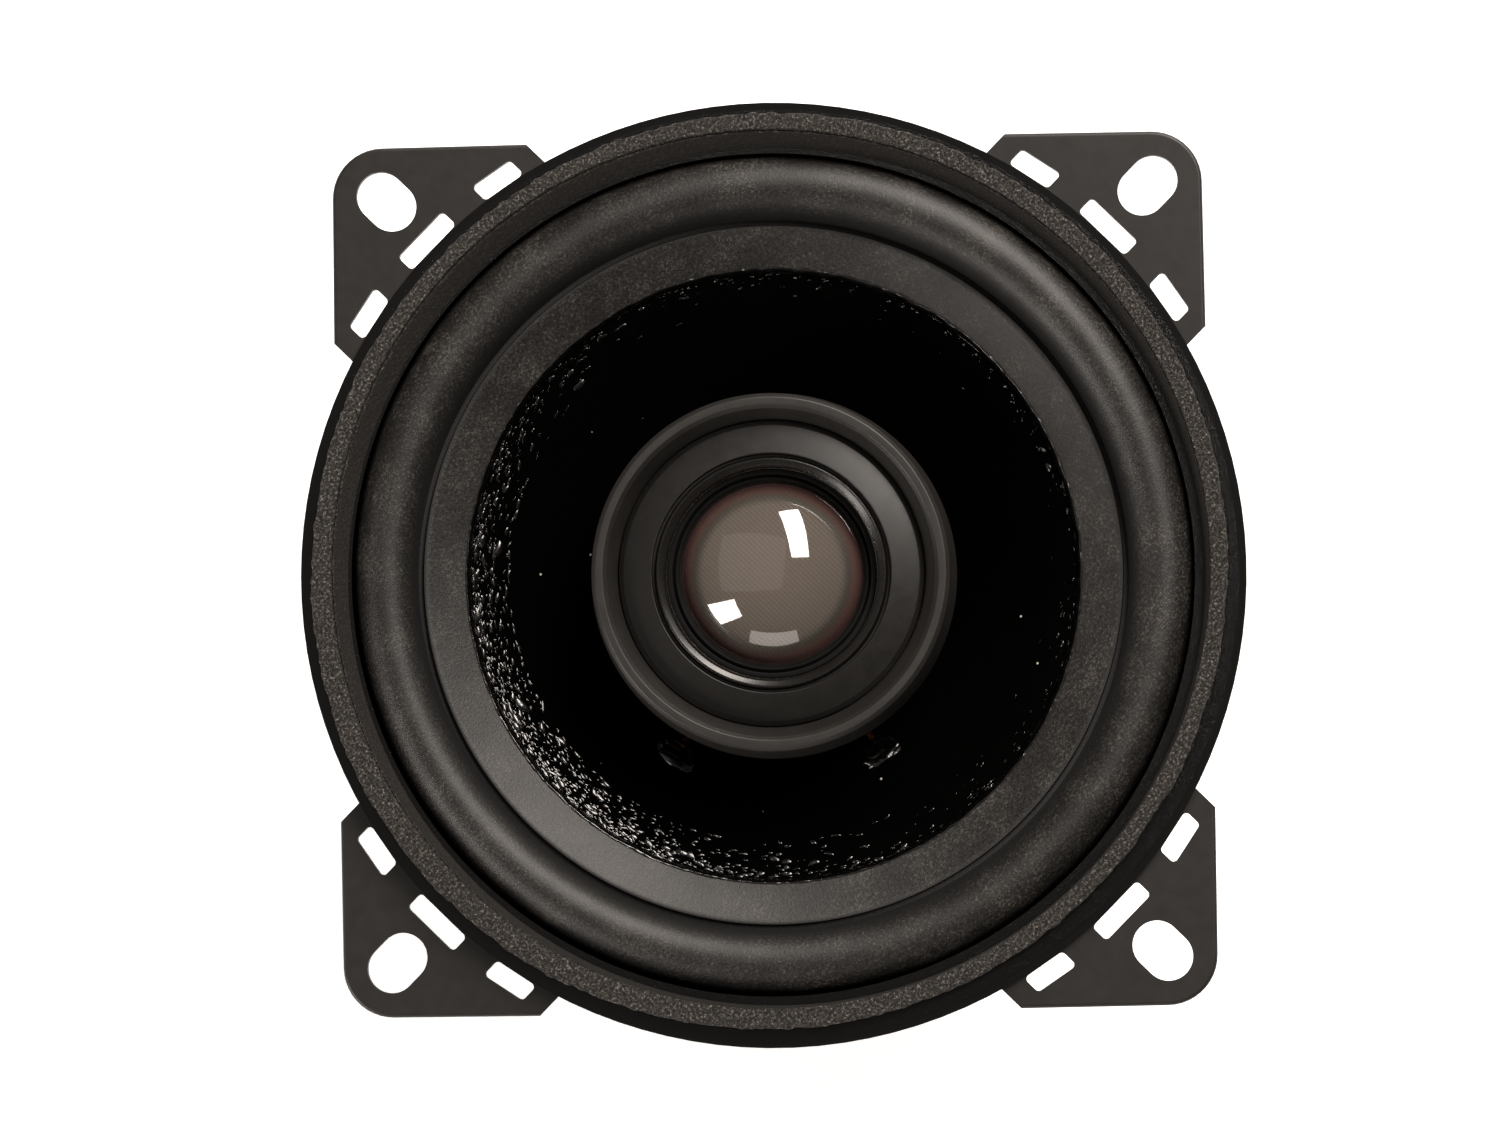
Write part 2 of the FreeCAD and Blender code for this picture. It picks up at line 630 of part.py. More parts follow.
def make_yoke():
    """Back plate and pole in one, bored for the post, with a pocket for its nut and a groove."""
    pocket_top = BACK_LOW + " + nut_depth"
    body = turned_body("back_plate_and_pole", [
        ("pole_hole", MOTOR_TOP),
        ("pole_hole", pocket_top),
        ("nut_pocket", pocket_top),
        ("nut_pocket", BACK_LOW),
        ("plate_rad - chamfer", BACK_LOW),
        ("plate_rad", BACK_LOW + " + chamfer"),
        ("plate_rad", FERRITE_LOW),
        ("pole_rad", FERRITE_LOW),
        ("pole_rad", MOTOR_TOP),
    ])
    groove = box_outline("pole_hole", "ferrite_rad", "- groove_half", "groove_half")
    sketch = sketch_on(
        body, "groove_sketch", "XY_Plane", [groove], turn=TERMINAL_ANGLE, lift=BACK_LOW
    )
    add_pocket(body, "groove", sketch, "groove_deep", reverse=True)


def make_basket_rivets():
    """Four rivets that hold the basket's floor on the top plate."""
    body = new_body("basket_rivets")
    body.AllowCompound = True
    shank = sketch_on(
        body, "shank_sketch", "XY_Plane", [circle_outline("rivet_circle", "0", "rivet_rad")],
        turn=SPOKE_ANGLE, lift="floor_top",
    )
    head = sketch_on(
        body, "head_sketch", "XY_Plane", [circle_outline("rivet_circle", "0", "rivet_head")],
        turn=SPOKE_ANGLE, lift="floor_top",
    )
    pads = [
        add_pad(body, "rivet_head_pad", head, "rivet_height"),
        add_pad(body, "rivet_shank", shank, "sheet + plate", reverse=True),
    ]
    add_polar(body, "rivet_ring", pads, RIVETS)


# The woofer's moving parts


LIP_LOW = "flange_rise + sheet"
LIP_TOP = LIP_LOW + " + lip_rubber"


def make_surround():
    """Rubber half roll with a flat lip on the flange and a landing on the cone."""
    low = "roll_foot - lip_rubber"
    turned_body("surround", [
        ("lip_rad", LIP_LOW),
        ("lip_rad", LIP_TOP),
        ("roll_out", LIP_TOP),
        ("roll_out", "roll_foot", (False, "roll_arc_z")),
        ("roll_in", "roll_foot"),
        ("land_in", "land_low"),
        ("land_in", "land_low - lip_rubber"),
        ("roll_in", low),
        ("roll_in + lip_rubber", low),
        ("roll_in + lip_rubber", "roll_foot", (False, "roll_arc_z")),
        ("roll_out - lip_rubber", "roll_foot"),
        ("roll_out - lip_rubber", low),
        ("roll_out + lip_rubber", low),
        ("roll_out + lip_rubber", LIP_LOW),
    ])


def make_cone():
    """Curved paper cone. Its rim lies under the surround's landing."""
    bend = "land_low - lip_rubber"
    return turned_body("cone", [
        ("cone_rim", "cone_rim_z"),
        ("land_in", bend, (False, "cone_arc_z")),
        ("neck_rad", "neck_z"),
        ("neck_rad", "neck_z - cone_wall", (False, "cone_arc_z - cone_wall")),
        ("land_in", bend + " - cone_wall"),
        ("cone_rim", "cone_rim_z - cone_wall"),
    ])


def cone_front(radius):
    """Height of the cone's front at a radius on its curve."""
    outer = (number("land_in"), number("land_low - lip_rubber"))
    inner = (number("neck_rad"), number("neck_z"))
    centre = arc_centre(outer, inner, False, number("cone_arc_z"))
    curve = math.dist(centre, outer)
    return centre[1] + math.sqrt(curve**2 - (radius - centre[0]) ** 2)


def bonded(label, raw, neighbour):
    """A bead of adhesive: a raw shape less the piece that it sticks to."""
    bead = document.addObject("Part::Cut", label)
    bead.Label = label
    bead.Base = raw
    bead.Tool = neighbour
    return bead


def make_cone_adhesives(cone):
    """The band inside the surround's landing and the fillet round the neck."""
    band = turned_body("raw_band", [
        ("land_in", "land_low - lip_rubber - glue_high"),
        ("land_in", "land_low"),
        ("glue_in", "glue_foot + glue_high"),
        ("glue_in", "glue_foot - glue_high"),
    ])
    bonded("surround_adhesive", band, cone)
    former = "former_rad + former_wall"
    neck = turned_body("raw_neck", [
        (former, "neck_z - glue_high"),
        ("neck_rad", "neck_z - glue_high"),
        ("neck_rad + collar", "neck_z + collar - glue_high"),
        (former, "neck_z + collar + glue_high"),
    ])
    bonded("neck_adhesive", neck, cone)


def make_spider():
    """Corrugated cloth disc that centres the voice coil."""
    top = "ledge_top + spider_cloth"
    steps = [" ".join(["spider_in", "+ wave"] + ["+ wave"] * k) for k in range(WAVES + 1)]
    front, back = [], []
    for k, step in enumerate(steps[:-1]):
        lean = "-" if k % 2 else "+"
        front.append((step, top, (False, f"{top} {lean} wave_arc")))
        back.append((steps[k + 1], "ledge_top", (False, f"ledge_top {lean} wave_arc")))
    outline = [("spider_in", "ledge_top"), ("spider_in", top)]
    outline += front
    outline += [(steps[-1], top), ("spider_rad", top), ("spider_rad", "ledge_top")]
    outline += back[::-1]
    outline.append((steps[0], "ledge_top"))
    turned_body("spider", outline)


def make_voice_coil():
    """Former and winding of the woofer's voice coil."""
    former = "former_rad + former_wall"
    ring("voice_coil_former", "former_rad", former, "former_low", "former_top")
    ring("voice_coil", former, former + " + coil_wall", "coil_low", "coil_top")


# The tweeter and its post


CASE_FLOOR_TOP = "case_low + case_floor"


def make_post():
    """Hollow post: a shoulder on the pole, a shank through it and an opening for the leads."""
    body = turned_body("tweeter_post", [
        ("post_bore", "shank_low"),
        ("post_shank", "shank_low"),
        ("post_shank", MOTOR_TOP),
        ("post_rad", MOTOR_TOP),
        ("post_rad", "case_low"),
        ("post_bore", "case_low"),
    ])
    door = box_outline("0", "post_rad + sheet", "- door_half", "door_half")
    sketch = sketch_on(
        body, "door_sketch", "XY_Plane", [door], turn=TERMINAL_ANGLE, lift="door_low"
    )
    add_pocket(body, "door", sketch, "case_low - door_low", reverse=True)


def make_post_fixings():
    """Washer and hexagon nut on the post's shank, in the pocket of the back plate."""
    top = BACK_LOW + " + nut_depth"
    ring("post_washer", "pole_hole", "washer_rad", top + " - washer", top)
    body = new_body("post_nut")
    corners = [
        ("nut_rad", "0"),
        ("nut_half", "nut_flat"),
        ("- nut_half", "nut_flat"),
        ("- nut_rad", "0"),
        ("- nut_half", "- nut_flat"),
        ("nut_half", "- nut_flat"),
    ]
    bore = circle_outline("0", "0", "post_shank", "thread_fit")
    sketch = sketch_on(
        body, "nut_sketch", "XY_Plane", [corners, bore], lift=top + " - washer"
    )
    add_pad(body, "nut_pad", sketch, "nut", reverse=True)


def make_tweeter_housing():
    """Cup of the tweeter with a rounded front lip and two holes for the leads."""
    body = turned_body("tweeter_housing", [
        ("0", "case_low"),
        ("case_base", "case_low"),
        ("case_side", "case_side_z"),
        ("lip_out", "lip_in_z"),
        ("lip_flat_out", "case_top"),
        ("lip_flat_in", "case_top"),
        ("lip_in", "lip_in_z"),
        ("seat_rad", "seat_top"),
        ("seat_rad", "shelf_top"),
        ("shelf_in", "shelf_top"),
        ("shelf_in", "shelf_low"),
        ("case_bore", "shelf_low"),
        ("case_bore", CASE_FLOOR_TOP),
        ("0", CASE_FLOOR_TOP),
    ])
    holes = [circle_outline("lead_hole_x", side + "lead_y", "lead_hole")
             for side in ("", "- ")]
    sketch = sketch_on(
        body, "lead_hole_sketch", "XY_Plane", holes, turn=TERMINAL_ANGLE,
        lift=CASE_FLOOR_TOP,
    )
    add_pocket(body, "lead_holes", sketch, "case_floor")


def make_tweeter_motor():
    """Steel pot, neodymium disc and pole plate."""
    turned_body("tweeter_pot", [
        ("0", CASE_FLOOR_TOP),
        ("pot_rad", CASE_FLOOR_TOP),
        ("pot_rad", "pot_top"),
        ("pot_bore", "pot_top"),
        ("pot_bore", "pot_floor"),
        ("0", "pot_floor"),
    ])
    ring("tweeter_magnet", "0", "neo_rad", "pot_floor", "neo_top")
    ring("tweeter_pole_plate", "0", "pole_plate_rad", "neo_top", "pot_top")


def make_tweeter_face():
    """Face plate with a ridge round the dome and a flare, and the ring under it."""
    turned_body("tweeter_face_plate", [
        ("face_in", "shelf_top"),
        ("face_out", "shelf_top"),
        ("face_out", "flare_edge"),
        ("flare_out", "flare_out_z"),
        ("ditch_out", "flare_in_z"),
        ("ditch_out", "ditch_low"),
        ("ditch_in", "ditch_low"),
        ("ridge_out", "ridge_top"),
        ("ridge_in", "ridge_top"),
        ("face_in", "ridge_side"),
    ])
    ring("tweeter_clamp_ring", "clamp_in", "clamp_out", "clamp_low", "clamp_top")


def dome_outline(radius, top, wall):
    """Section of a domed shell that stands on the height dome_low."""
    return [
        ("0", top, (True, "0")),
        (radius, "dome_low"),
        (f"{radius} - {wall}", "dome_low", (True, "0")),
        ("0", f"{top} - {wall}"),
    ]


def make_tweeter_diaphragm():
    """Clear film dome over a woven cloth, its surround, former and winding."""
    turned_body("tweeter_dome", dome_outline("dome_rad", "dome_top", "film"))
    turned_body("tweeter_dome_cloth", dome_outline("cloth_rad", "cloth_top", "cloth"))
    ring("tweeter_surround", "halo_in", "halo_out", "halo_low", "halo_low + halo")
    former = "bobbin_rad + bobbin_wall"
    ring("tweeter_coil_former", "bobbin_rad", former, "bobbin_low", "bobbin_top")
    ring(
        "tweeter_coil", former, former + " + tweeter_coil", "tweeter_coil_low",
        "tweeter_coil_top",
    )


# The terminals. These pieces are drawn at the +X side and then turned to their own angle.


def make_terminal_board():
    """Fibre board on the basket's tab, with holes for its three rivets."""
    body = new_body("terminal_board")
    outlines = [
        box_outline("- board_half", "board_half", "board_low", "board_top"),
        circle_outline("0", "board_rivet_z", "small_rivet", "rivet_fit"),
        circle_outline("blade_y", "terminal_rivet_z", "small_rivet", "rivet_fit"),
        circle_outline("- blade_y", "terminal_rivet_z", "small_rivet", "rivet_fit"),
    ]
    sketch = sketch_on(body, "board_sketch", "YZ_Plane", outlines, lift="board_in")
    add_pad(body, "board_pad", sketch, "board")
    place(body, TERMINAL_ANGLE)


def make_blade(label, side, half):
    """A blade terminal with a solder lug, a latch hole and a rivet hole."""
    middle = side + "blade_y"
    body = new_body(label)
    outline = [
        (middle + " - lug_half", "blade_top"),
        (middle + " - lug_half", "lug_low"),
        (f"{middle} - {half}", "lug_low"),
        (f"{middle} - {half}", "blade_low + blade_taper"),
        (f"{middle} - {half} + blade_taper", "blade_low"),
        (f"{middle} + {half} - blade_taper", "blade_low"),
        (f"{middle} + {half}", "blade_low + blade_taper"),
        (f"{middle} + {half}", "lug_low"),
        (middle + " + lug_half", "lug_low"),
        (middle + " + lug_half", "blade_top"),
    ]
    holes = [
        circle_outline(middle, "blade_hole_z", "blade_hole"),
        circle_outline(middle, "terminal_rivet_z", "small_rivet", "rivet_fit"),
    ]
    sketch = sketch_on(
        body, label + "_sketch", "YZ_Plane", [outline] + holes, lift="board_in + board"
    )
    add_pad(body, label + "_pad", sketch, "blade")
    place(body, TERMINAL_ANGLE)


def make_radial_rivets(label, middles, height, inner, outer):
    """Rivets along a radius, with a head at each end."""
    body = new_body(label)
    body.AllowCompound = True
    for name, radius, start, length in (
        ("inner_head", "small_head", f"{inner} - small_head_high", "small_head_high"),
        ("rod", "small_rivet", inner, f"{outer} - {inner}"),
        ("outer_head", "small_head", outer, "small_head_high"),
    ):
        circles = [circle_outline(middle, height, radius) for middle in middles]
        sketch = sketch_on(body, f"{label}_{name}_sketch", "YZ_Plane", circles, lift=start)
        add_pad(body, f"{label}_{name}", sketch, length)
    place(body, TERMINAL_ANGLE)


def make_capacitor():
    """Small round capacitor across the board, with a rolled groove near one end."""
    body = new_body("capacitor")
    add_turned(body, "can", [
        ("0", "- can_half"),
        ("can_rad", "- can_half"),
        ("can_rad", "can_half - can_rad"),
        ("can_rad - can_groove", "can_half - can_rad + can_groove"),
        ("can_rad", "can_half - can_rad + can_groove + can_groove"),
        ("can_rad", "can_half"),
        ("0", "can_half"),
    ], role="XY_Plane")
    place(body, TERMINAL_ANGLE, x=number("can_x"), z=number("can_z"))
    dab = document.addObject("Part::Box", "raw_dab")
    for side, text in (
        ("Length", "can_x - board_in - board - small_head"),
        ("Width", "can_rad"),
        ("Height", "can_rad"),
    ):
        dab.setExpression(side, expression(text))
    place(
        dab, TERMINAL_ANGLE, x=number("board_in + board"),
        y=number("small_head + rivet_fit"), z=number("can_z - can_rad + can_groove"),
    )
    bonded("capacitor_adhesive", dab, body)


# Wires and leads


def rounded_route(points, radius):
    """Straight runs through points, joined by tangent arcs of one radius."""
    edges = []
    start = points[0]
    for before, corner, after in zip(points, points[1:], points[2:]):
        inward = (before - corner).normalize()
        onward = (after - corner).normalize()
        half = inward.getAngle(onward) / 2
        cut = radius / math.tan(half)
        room = SLACK * min((before - corner).Length, (after - corner).Length)
        cut = min(cut, room)
        bend = cut * math.tan(half)
        first = corner + inward * cut
        last = corner + onward * cut
        middle = (inward + onward).normalize()
        tip = corner + middle * (bend / math.sin(half) - bend)
        edges.append(Part.LineSegment(start, first).toShape())
        edges.append(Part.Arc(first, tip, last).toShape())
        start = last
    edges.append(Part.LineSegment(start, points[-1]).toShape())
    return Part.Wire(edges)


def tube(route, radius):
    """A round wire along a route, whose volume has to be its section times its length."""
    first = route.Edges[0]
    circle = Part.makeCircle(
        radius, first.valueAt(first.FirstParameter), first.tangentAt(first.FirstParameter)
    )
    solid = route.makePipeShell([Part.Wire([circle])], True, True)
    wanted = math.pi * radius**2 * route.Length
    if abs(solid.Volume / wanted - 1) > 0.01:
        raise RuntimeError(f"a wire has the volume {solid.Volume:.3f}, not {wanted:.3f}")
    return solid


def wire_node(label, solids):
    """A node of wires, turned to the terminals' side."""
    node = document.addObject("Part::Feature", label)
    node.Label = label
    node.Shape = solids[0] if len(solids) == 1 else Part.makeCompound(solids)
    return place(node, TERMINAL_ANGLE)


def make_tweeter_leads():
    """Two leads from the housing through the post and the groove to the terminals."""
    across, run = number("lead_y"), number("lead_run")
    back, side = number("lead_back"), number("lead_side")
    blade_face = number("board_in + board + blade + lead_wire")
    can_x, blade_y = number("can_x"), number("blade_y")
    wire, lug = number("lead_wire"), number("blade_top")
    ends = {
        "tweeter_lead_negative": (across, [
            Vector(side, across, -35.0),
            Vector(35.4, -0.2, -31.8),
            Vector(35.7, -4.8, -26.4),
            Vector(blade_face + 0.05, -blade_y, -23.0),
            Vector(blade_face + 0.05, -blade_y, lug - 1.6),
        ]),
        "tweeter_lead_positive": (-across, [
            Vector(side, -across, -35.8),
            Vector(36.8, -2.6, -33.0),
            Vector(37.6, -7.0, -29.2),
            Vector(can_x, -9.0, -26.6),
            Vector(can_x, -9.0, -24.2),
        ]),
    }
    for label, (y, end) in ends.items():
        x = number("lead_hole_x")
        points = [
            Vector(x, y, number("lead_high")),
            Vector(x, y, run),
            Vector(0, y, run),
            Vector(0, y, back),
            Vector(side, y, back),
        ]
        wire_node(label, [tube(rounded_route(points + end, number("lead_bend")), wire)])


def make_capacitor_leads():
    """The capacitor's two wires: to the positive lug and to the tweeter's positive lead."""
    x, y, z = number("can_x"), number("can_half"), number("can_z")
    wire, lug_y = number("thin_wire"), number("blade_y")
    face = number("board_in + board + blade + thin_wire")
    routes = [
        [Vector(x, y, z), Vector(x, lug_y, z), Vector(face, lug_y, z - 1.4)],
        [Vector(x, -y, z), Vector(x, -9.0, z), Vector(x, -9.0, -24.2)],
    ]
    wire_node("capacitor_leads", [tube(rounded_route(r, 1.0), wire) for r in routes])


def make_tinsel_leads():
    """Two slack braided leads from the solder lugs to the back of the cone."""
    x, y = number("eyelet_x"), number("eyelet_y")
    back = cone_front(math.hypot(x, y)) - number("cone_wall")
    lug_x, lug_top = number("board_in + board"), number("blade_top")
    for label, side in (("tinsel_lead_positive", 1), ("tinsel_lead_negative", -1)):
        points = [
            Vector(lug_x + 0.4, side * 8.6, lug_top + 0.4),
            Vector(lug_x + 0.9, side * 9.2, -14.6),
            Vector(30.2, side * 10.4, -11.8),
            Vector(24.4, side * 11.2, -13.0),
            Vector(x + 0.6, side * y, -11.4),
            Vector(x, side * y, back - 1.0),
        ]
        route = rounded_route(points, 4.0)
        wire_node(label, [tube(route, number("tinsel"))])


def make_lead_dots(cone):
    """Dots of adhesive on the cone's front, over the ends of the tinsel leads."""
    x, y = number("eyelet_x"), number("eyelet_y")
    radius = number("glue_dot")
    height = cone_front(math.hypot(x, y))
    dots = []
    for side in (1, -1):
        ball = Part.makeSphere(radius, Vector(x, side * y, height - 0.3 * radius))
        pieces = ball.cut(cone.Shape).Solids
        dots.append(max(pieces, key=lambda piece: piece.CenterOfMass.z))
    wire_node("lead_glue_dots", dots)


def make_coil_leads():
    """Two wires along the cone's front, from the dots to the voice coil's former."""
    x, y = number("eyelet_x"), number("eyelet_y")
    wire = number("thin_wire")
    near = number("neck_rad + collar") + 0.5
    far = math.hypot(x, y) - number("glue_dot") - 0.1
    outer = (number("land_in"), number("land_low - lip_rubber"))
    inner = (number("neck_rad"), number("neck_z"))
    centre = arc_centre(outer, inner, False, number("cone_arc_z"))
    curve = math.dist(centre, outer) + wire + 0.02
    wires = []
    for side in (1, -1):
        angle = side * math.atan2(y, x)
        stops = []
        for radius in (near, (near + far) / 2, far):
            height = centre[1] + math.sqrt(curve**2 - (radius - centre[0]) ** 2)
            stops.append(
                Vector(radius * math.cos(angle), radius * math.sin(angle), height)
            )
        wires.append(tube(Part.Wire([Part.Arc(*stops).toShape()]), wire))
    wire_node("coil_leads", wires)


def make_speaker():
    """Every sub-part, in the order in which the speaker is put together."""
    make_basket()
    make_top_plate()
    make_ferrite()
    make_yoke()
    make_basket_rivets()
    cone = make_cone()
    document.recompute()
    make_cone_adhesives(cone)
    make_surround()
    ring("front_gasket", "gasket_in", "gasket_out", LIP_TOP, LIP_TOP + " + gasket_high")
    make_spider()
    make_voice_coil()
    make_post()
    make_post_fixings()
    make_tweeter_housing()
    make_tweeter_motor()
    make_tweeter_face()
    make_tweeter_diaphragm()
    make_terminal_board()
    make_blade("positive_blade", "", "wide_half")
    make_blade("negative_blade", "- ", "slim_half")
    make_radial_rivets(
        "terminal_rivets", ["blade_y", "- blade_y"], "terminal_rivet_z", "board_in",
        "board_in + board + blade",
    )
    make_radial_rivets(
        "board_rivet", ["0"], "board_rivet_z", "tab_in", "board_in + board"
    )
    make_capacitor()
    make_capacitor_leads()
    make_tweeter_leads()
    make_tinsel_leads()
    make_lead_dots(cone)
    make_coil_leads()


def is_sub_part(item):
    """Is this object of the document a finished sub-part?"""
    kinds = ("PartDesign::Body", "Part::Cut", "Part::Feature")
    return item.TypeId in kinds and not item.Label.startswith("raw_")


def write_parts():
    """Check every object, then write each sub-part to parts/LABEL.step."""
    document.recompute()
    for item in document.Objects:
        if {"Invalid", "Error"} & set(item.State):
            raise RuntimeError(f"{item.Name} has failed: {item.State}")
    nodes = [item for item in document.Objects if is_sub_part(item)]
    for node in nodes:
        if node.Shape.isNull() or not node.Shape.isValid() or not node.Shape.Solids:
            raise RuntimeError(f"{node.Label} has no sound shape")
    os.makedirs("parts", exist_ok=True)
    for node in nodes:
        node.Shape.exportStep(f"parts/{node.Label}.step")
        print(f"{node.Label}: {len(node.Shape.Solids)} solid, {node.Shape.Volume:.1f} mm3")


make_speaker()
write_parts()
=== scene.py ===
"""The looks of the coaxial car speaker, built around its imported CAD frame.

Metres, in the frame of the CAD part: the origin is the centre of the mounting plane and +Z
points out of the front. Round pieces are turned from an outline of (radius, height) points.
"""

import math

import bmesh
import bpy
import numpy as np
from mathutils import Matrix, Vector


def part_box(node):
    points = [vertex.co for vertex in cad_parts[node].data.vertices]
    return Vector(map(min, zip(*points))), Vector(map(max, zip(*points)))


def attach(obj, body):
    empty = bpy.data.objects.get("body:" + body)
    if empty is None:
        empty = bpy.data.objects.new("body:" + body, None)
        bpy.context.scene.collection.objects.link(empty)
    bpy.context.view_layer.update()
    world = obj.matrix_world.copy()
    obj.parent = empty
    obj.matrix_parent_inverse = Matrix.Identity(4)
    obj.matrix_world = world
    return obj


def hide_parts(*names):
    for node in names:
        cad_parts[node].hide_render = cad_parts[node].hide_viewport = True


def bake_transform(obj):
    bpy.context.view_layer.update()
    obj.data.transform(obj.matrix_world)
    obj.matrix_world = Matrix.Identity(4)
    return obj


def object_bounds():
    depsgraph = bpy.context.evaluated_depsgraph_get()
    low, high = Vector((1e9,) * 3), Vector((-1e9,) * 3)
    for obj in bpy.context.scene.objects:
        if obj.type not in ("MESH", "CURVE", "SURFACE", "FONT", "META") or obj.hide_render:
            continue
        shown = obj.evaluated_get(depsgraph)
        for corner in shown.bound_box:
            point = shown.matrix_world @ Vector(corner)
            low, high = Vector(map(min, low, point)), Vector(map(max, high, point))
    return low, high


MM = 0.001

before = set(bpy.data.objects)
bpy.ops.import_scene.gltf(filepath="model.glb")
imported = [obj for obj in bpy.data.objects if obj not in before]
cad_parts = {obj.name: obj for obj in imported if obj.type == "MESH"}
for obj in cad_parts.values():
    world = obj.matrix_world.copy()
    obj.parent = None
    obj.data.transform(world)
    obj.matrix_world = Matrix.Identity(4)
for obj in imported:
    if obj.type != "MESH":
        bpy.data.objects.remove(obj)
CAD_BOX = [[float(v) for v in corner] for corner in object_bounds()]

# The picture's right and up lie in the mounting plane, turned from the part's X and Y axes.
PICTURE_TURN = math.radians(-45.985)
RIGHT = Vector((math.cos(PICTURE_TURN), math.sin(PICTURE_TURN), 0))
UP = Vector((-RIGHT.y, RIGHT.x, 0))
FRONT = Vector((0, 0, 1))
TERMINALS = math.radians(225)

CAMERA_AWAY = 0.65
CAMERA_LENS = 146.3
CAMERA_TILT = math.radians(3.5)
AIM_RIGHT = -2.45 * MM
AIM_UP = 1.30 * MM

LIGHTS = (  # name, direction (right, up, to the front), width, height, power
    ("key_light", (0.347, 0.650, 0.676), 0.28, 0.80, 15.0),
    ("side_light", (-0.742, -0.523, 0.421), 0.60, 0.28, 6.5),
    ("low_light", (0.0, -0.958, 0.287), 0.66, 0.50, 1.6),
    ("room_light", (-0.36, 0.21, 0.906), 1.15, 0.95, 0.7),
)
LIGHT_AWAY = 0.9
LIGHT_COLOUR = (1.0, 0.92, 0.85)
ROOM_COLOUR = (1.0, 0.94, 0.88, 1)
ROOM_STRENGTH = 0.07

GASKET_SKIN = (4.5 * MM, 4.85 * MM)
ROLL_OUT, ROLL_IN = 44.7 * MM, 37.2 * MM
ROLL_FOOT = 1.1 * MM
GROOVE_OUT = 37.95 * MM
RUBBER = 0.5 * MM
LAND_IN = 32.8 * MM
LAND_LOW = -1.2 * MM
CONE_WALL = 0.7 * MM
CONE_ARC_Z = -57.8 * MM
CONE_BEND = (LAND_IN, LAND_LOW - RUBBER)
NECK = (10.35 * MM, -16.5 * MM)
BEAD_IN = 32.4 * MM
FORMER = 10.25 * MM
EYELET = (19.0 * MM, 11.0 * MM)
CLOTH_PITCH = 0.40 * MM
WEAK_THREADS = 0.35

# Drops of adhesive: most lie in a cluster at the lower left of the picture, the others anywhere.
# Angles are in degrees, as seen in the picture, and the drops' lengths in millimetres.
DROP_COUNT, DROP_SEED = 2300, 5
CLUSTER_SHARE = 0.60
CLUSTER_ANGLE, CLUSTER_SPREAD = 209, 38
CLUSTER_DROP, OTHER_DROP = 0.27, 0.13
DROP_REACH = 3.9


# Small tools for meshes


def bump_noise(points, size, seed):
    """Smooth noise from -1 to 1 at points, with bumps of about this size."""
    spot = np.asarray(points, float) / size
    cell = np.floor(spot)
    part = spot - cell
    part = part * part * (3 - 2 * part)
    cell = cell.astype(np.int64)
    total = np.zeros(len(spot))
    for corner in np.ndindex(2, 2, 2):
        key = (cell + corner) * np.array([73856093, 19349663, 83492791])
        mixed = np.bitwise_xor.reduce(key, axis=1) + seed * 7919
        mixed = (mixed * 2654435761) % 4294967296
        mixed = ((mixed ^ (mixed >> 15)) * 2246822519) % 4294967296
        value = (mixed ^ (mixed >> 13)) % 65536 / 32767.5 - 1
        share = np.where(corner, part, 1 - part).prod(axis=1)
        total += value * share
    return total


def smooth(value, low, high):
    """0 below low, 1 above high, and a smooth step between them."""
    part = np.clip((value - low) / (high - low), 0, 1)
    return part * part * (3 - 2 * part)


def round_corners(outline, radius, closed=True, steps=4):
    """The outline with each corner rounded. A point may give its own radius as a third number."""
    points = [Vector(point[:2]) for point in outline]
    radii = [point[2] if len(point) > 2 else radius for point in outline]
    count = len(points)
    result = []
    for index, (corner, own) in enumerate(zip(points, radii)):
        if not closed and index in (0, count - 1):
            result.append(tuple(corner))
            continue
        before = points[index - 1] - corner
        after = points[(index + 1) % count] - corner
        half = before.angle(after) / 2
        if own <= 0 or half > math.radians(88):
            result.append(tuple(corner))
            continue
        cut = min(own / math.tan(half), 0.45 * before.length, 0.45 * after.length)
        first = corner + before.normalized() * cut
        last = corner + after.normalized() * cut
        for step in range(steps + 1):
            share = step / steps
            on = first * (1 - share) ** 2 + corner * 2 * share * (1 - share) + last * share**2
            result.append(tuple(on))
    return result


def refine(outline, step, closed=True):
    """The outline with points added so that no side is longer than step."""
    ends = outline[1:] + outline[:1] if closed else outline[1:]
    result = []
    for start, end in zip(outline, ends):
        parts = max(1, math.ceil(math.dist(start, end) / step))
        for index in range(parts):
            share = index / parts
            result.append(tuple(a + (b - a) * share for a, b in zip(start, end)))
    if not closed:
        result.append(outline[-1])
    return result


def mesh_object(name, points, faces, sharp=35):
    """A smooth-shaded mesh object with sharp edges where the faces turn more than sharp."""
    mesh = bpy.data.meshes.new(name)
    mesh.from_pydata(np.asarray(points).tolist(), [], faces)
    mesh.validate()
    mesh.shade_smooth()
    mesh.set_sharp_from_angle(angle=math.radians(sharp))
    piece = bpy.data.objects.new(name, mesh)
    bpy.context.scene.collection.objects.link(piece)
    return piece


def turned_points(outline, around):
    """Points of an outline turned about the axis: an array of around x outline x 3."""
    angles = np.linspace(0, 2 * math.pi, around, endpoint=False)
    radii, heights = np.array(outline).T
    x = np.outer(np.cos(angles), radii)
    y = np.outer(np.sin(angles), radii)
    z = np.broadcast_to(heights, x.shape)
    return np.stack([x, y, z], axis=2)


def turned_faces(around, count):
    """Quads between the closed outlines of turned_points."""
    faces = []
    for j, i in np.ndindex(around, count):
        here, beside = j * count, (j + 1) % around * count
        k = (i + 1) % count
        faces.append((here + k, beside + k, beside + i, here + i))
    return faces


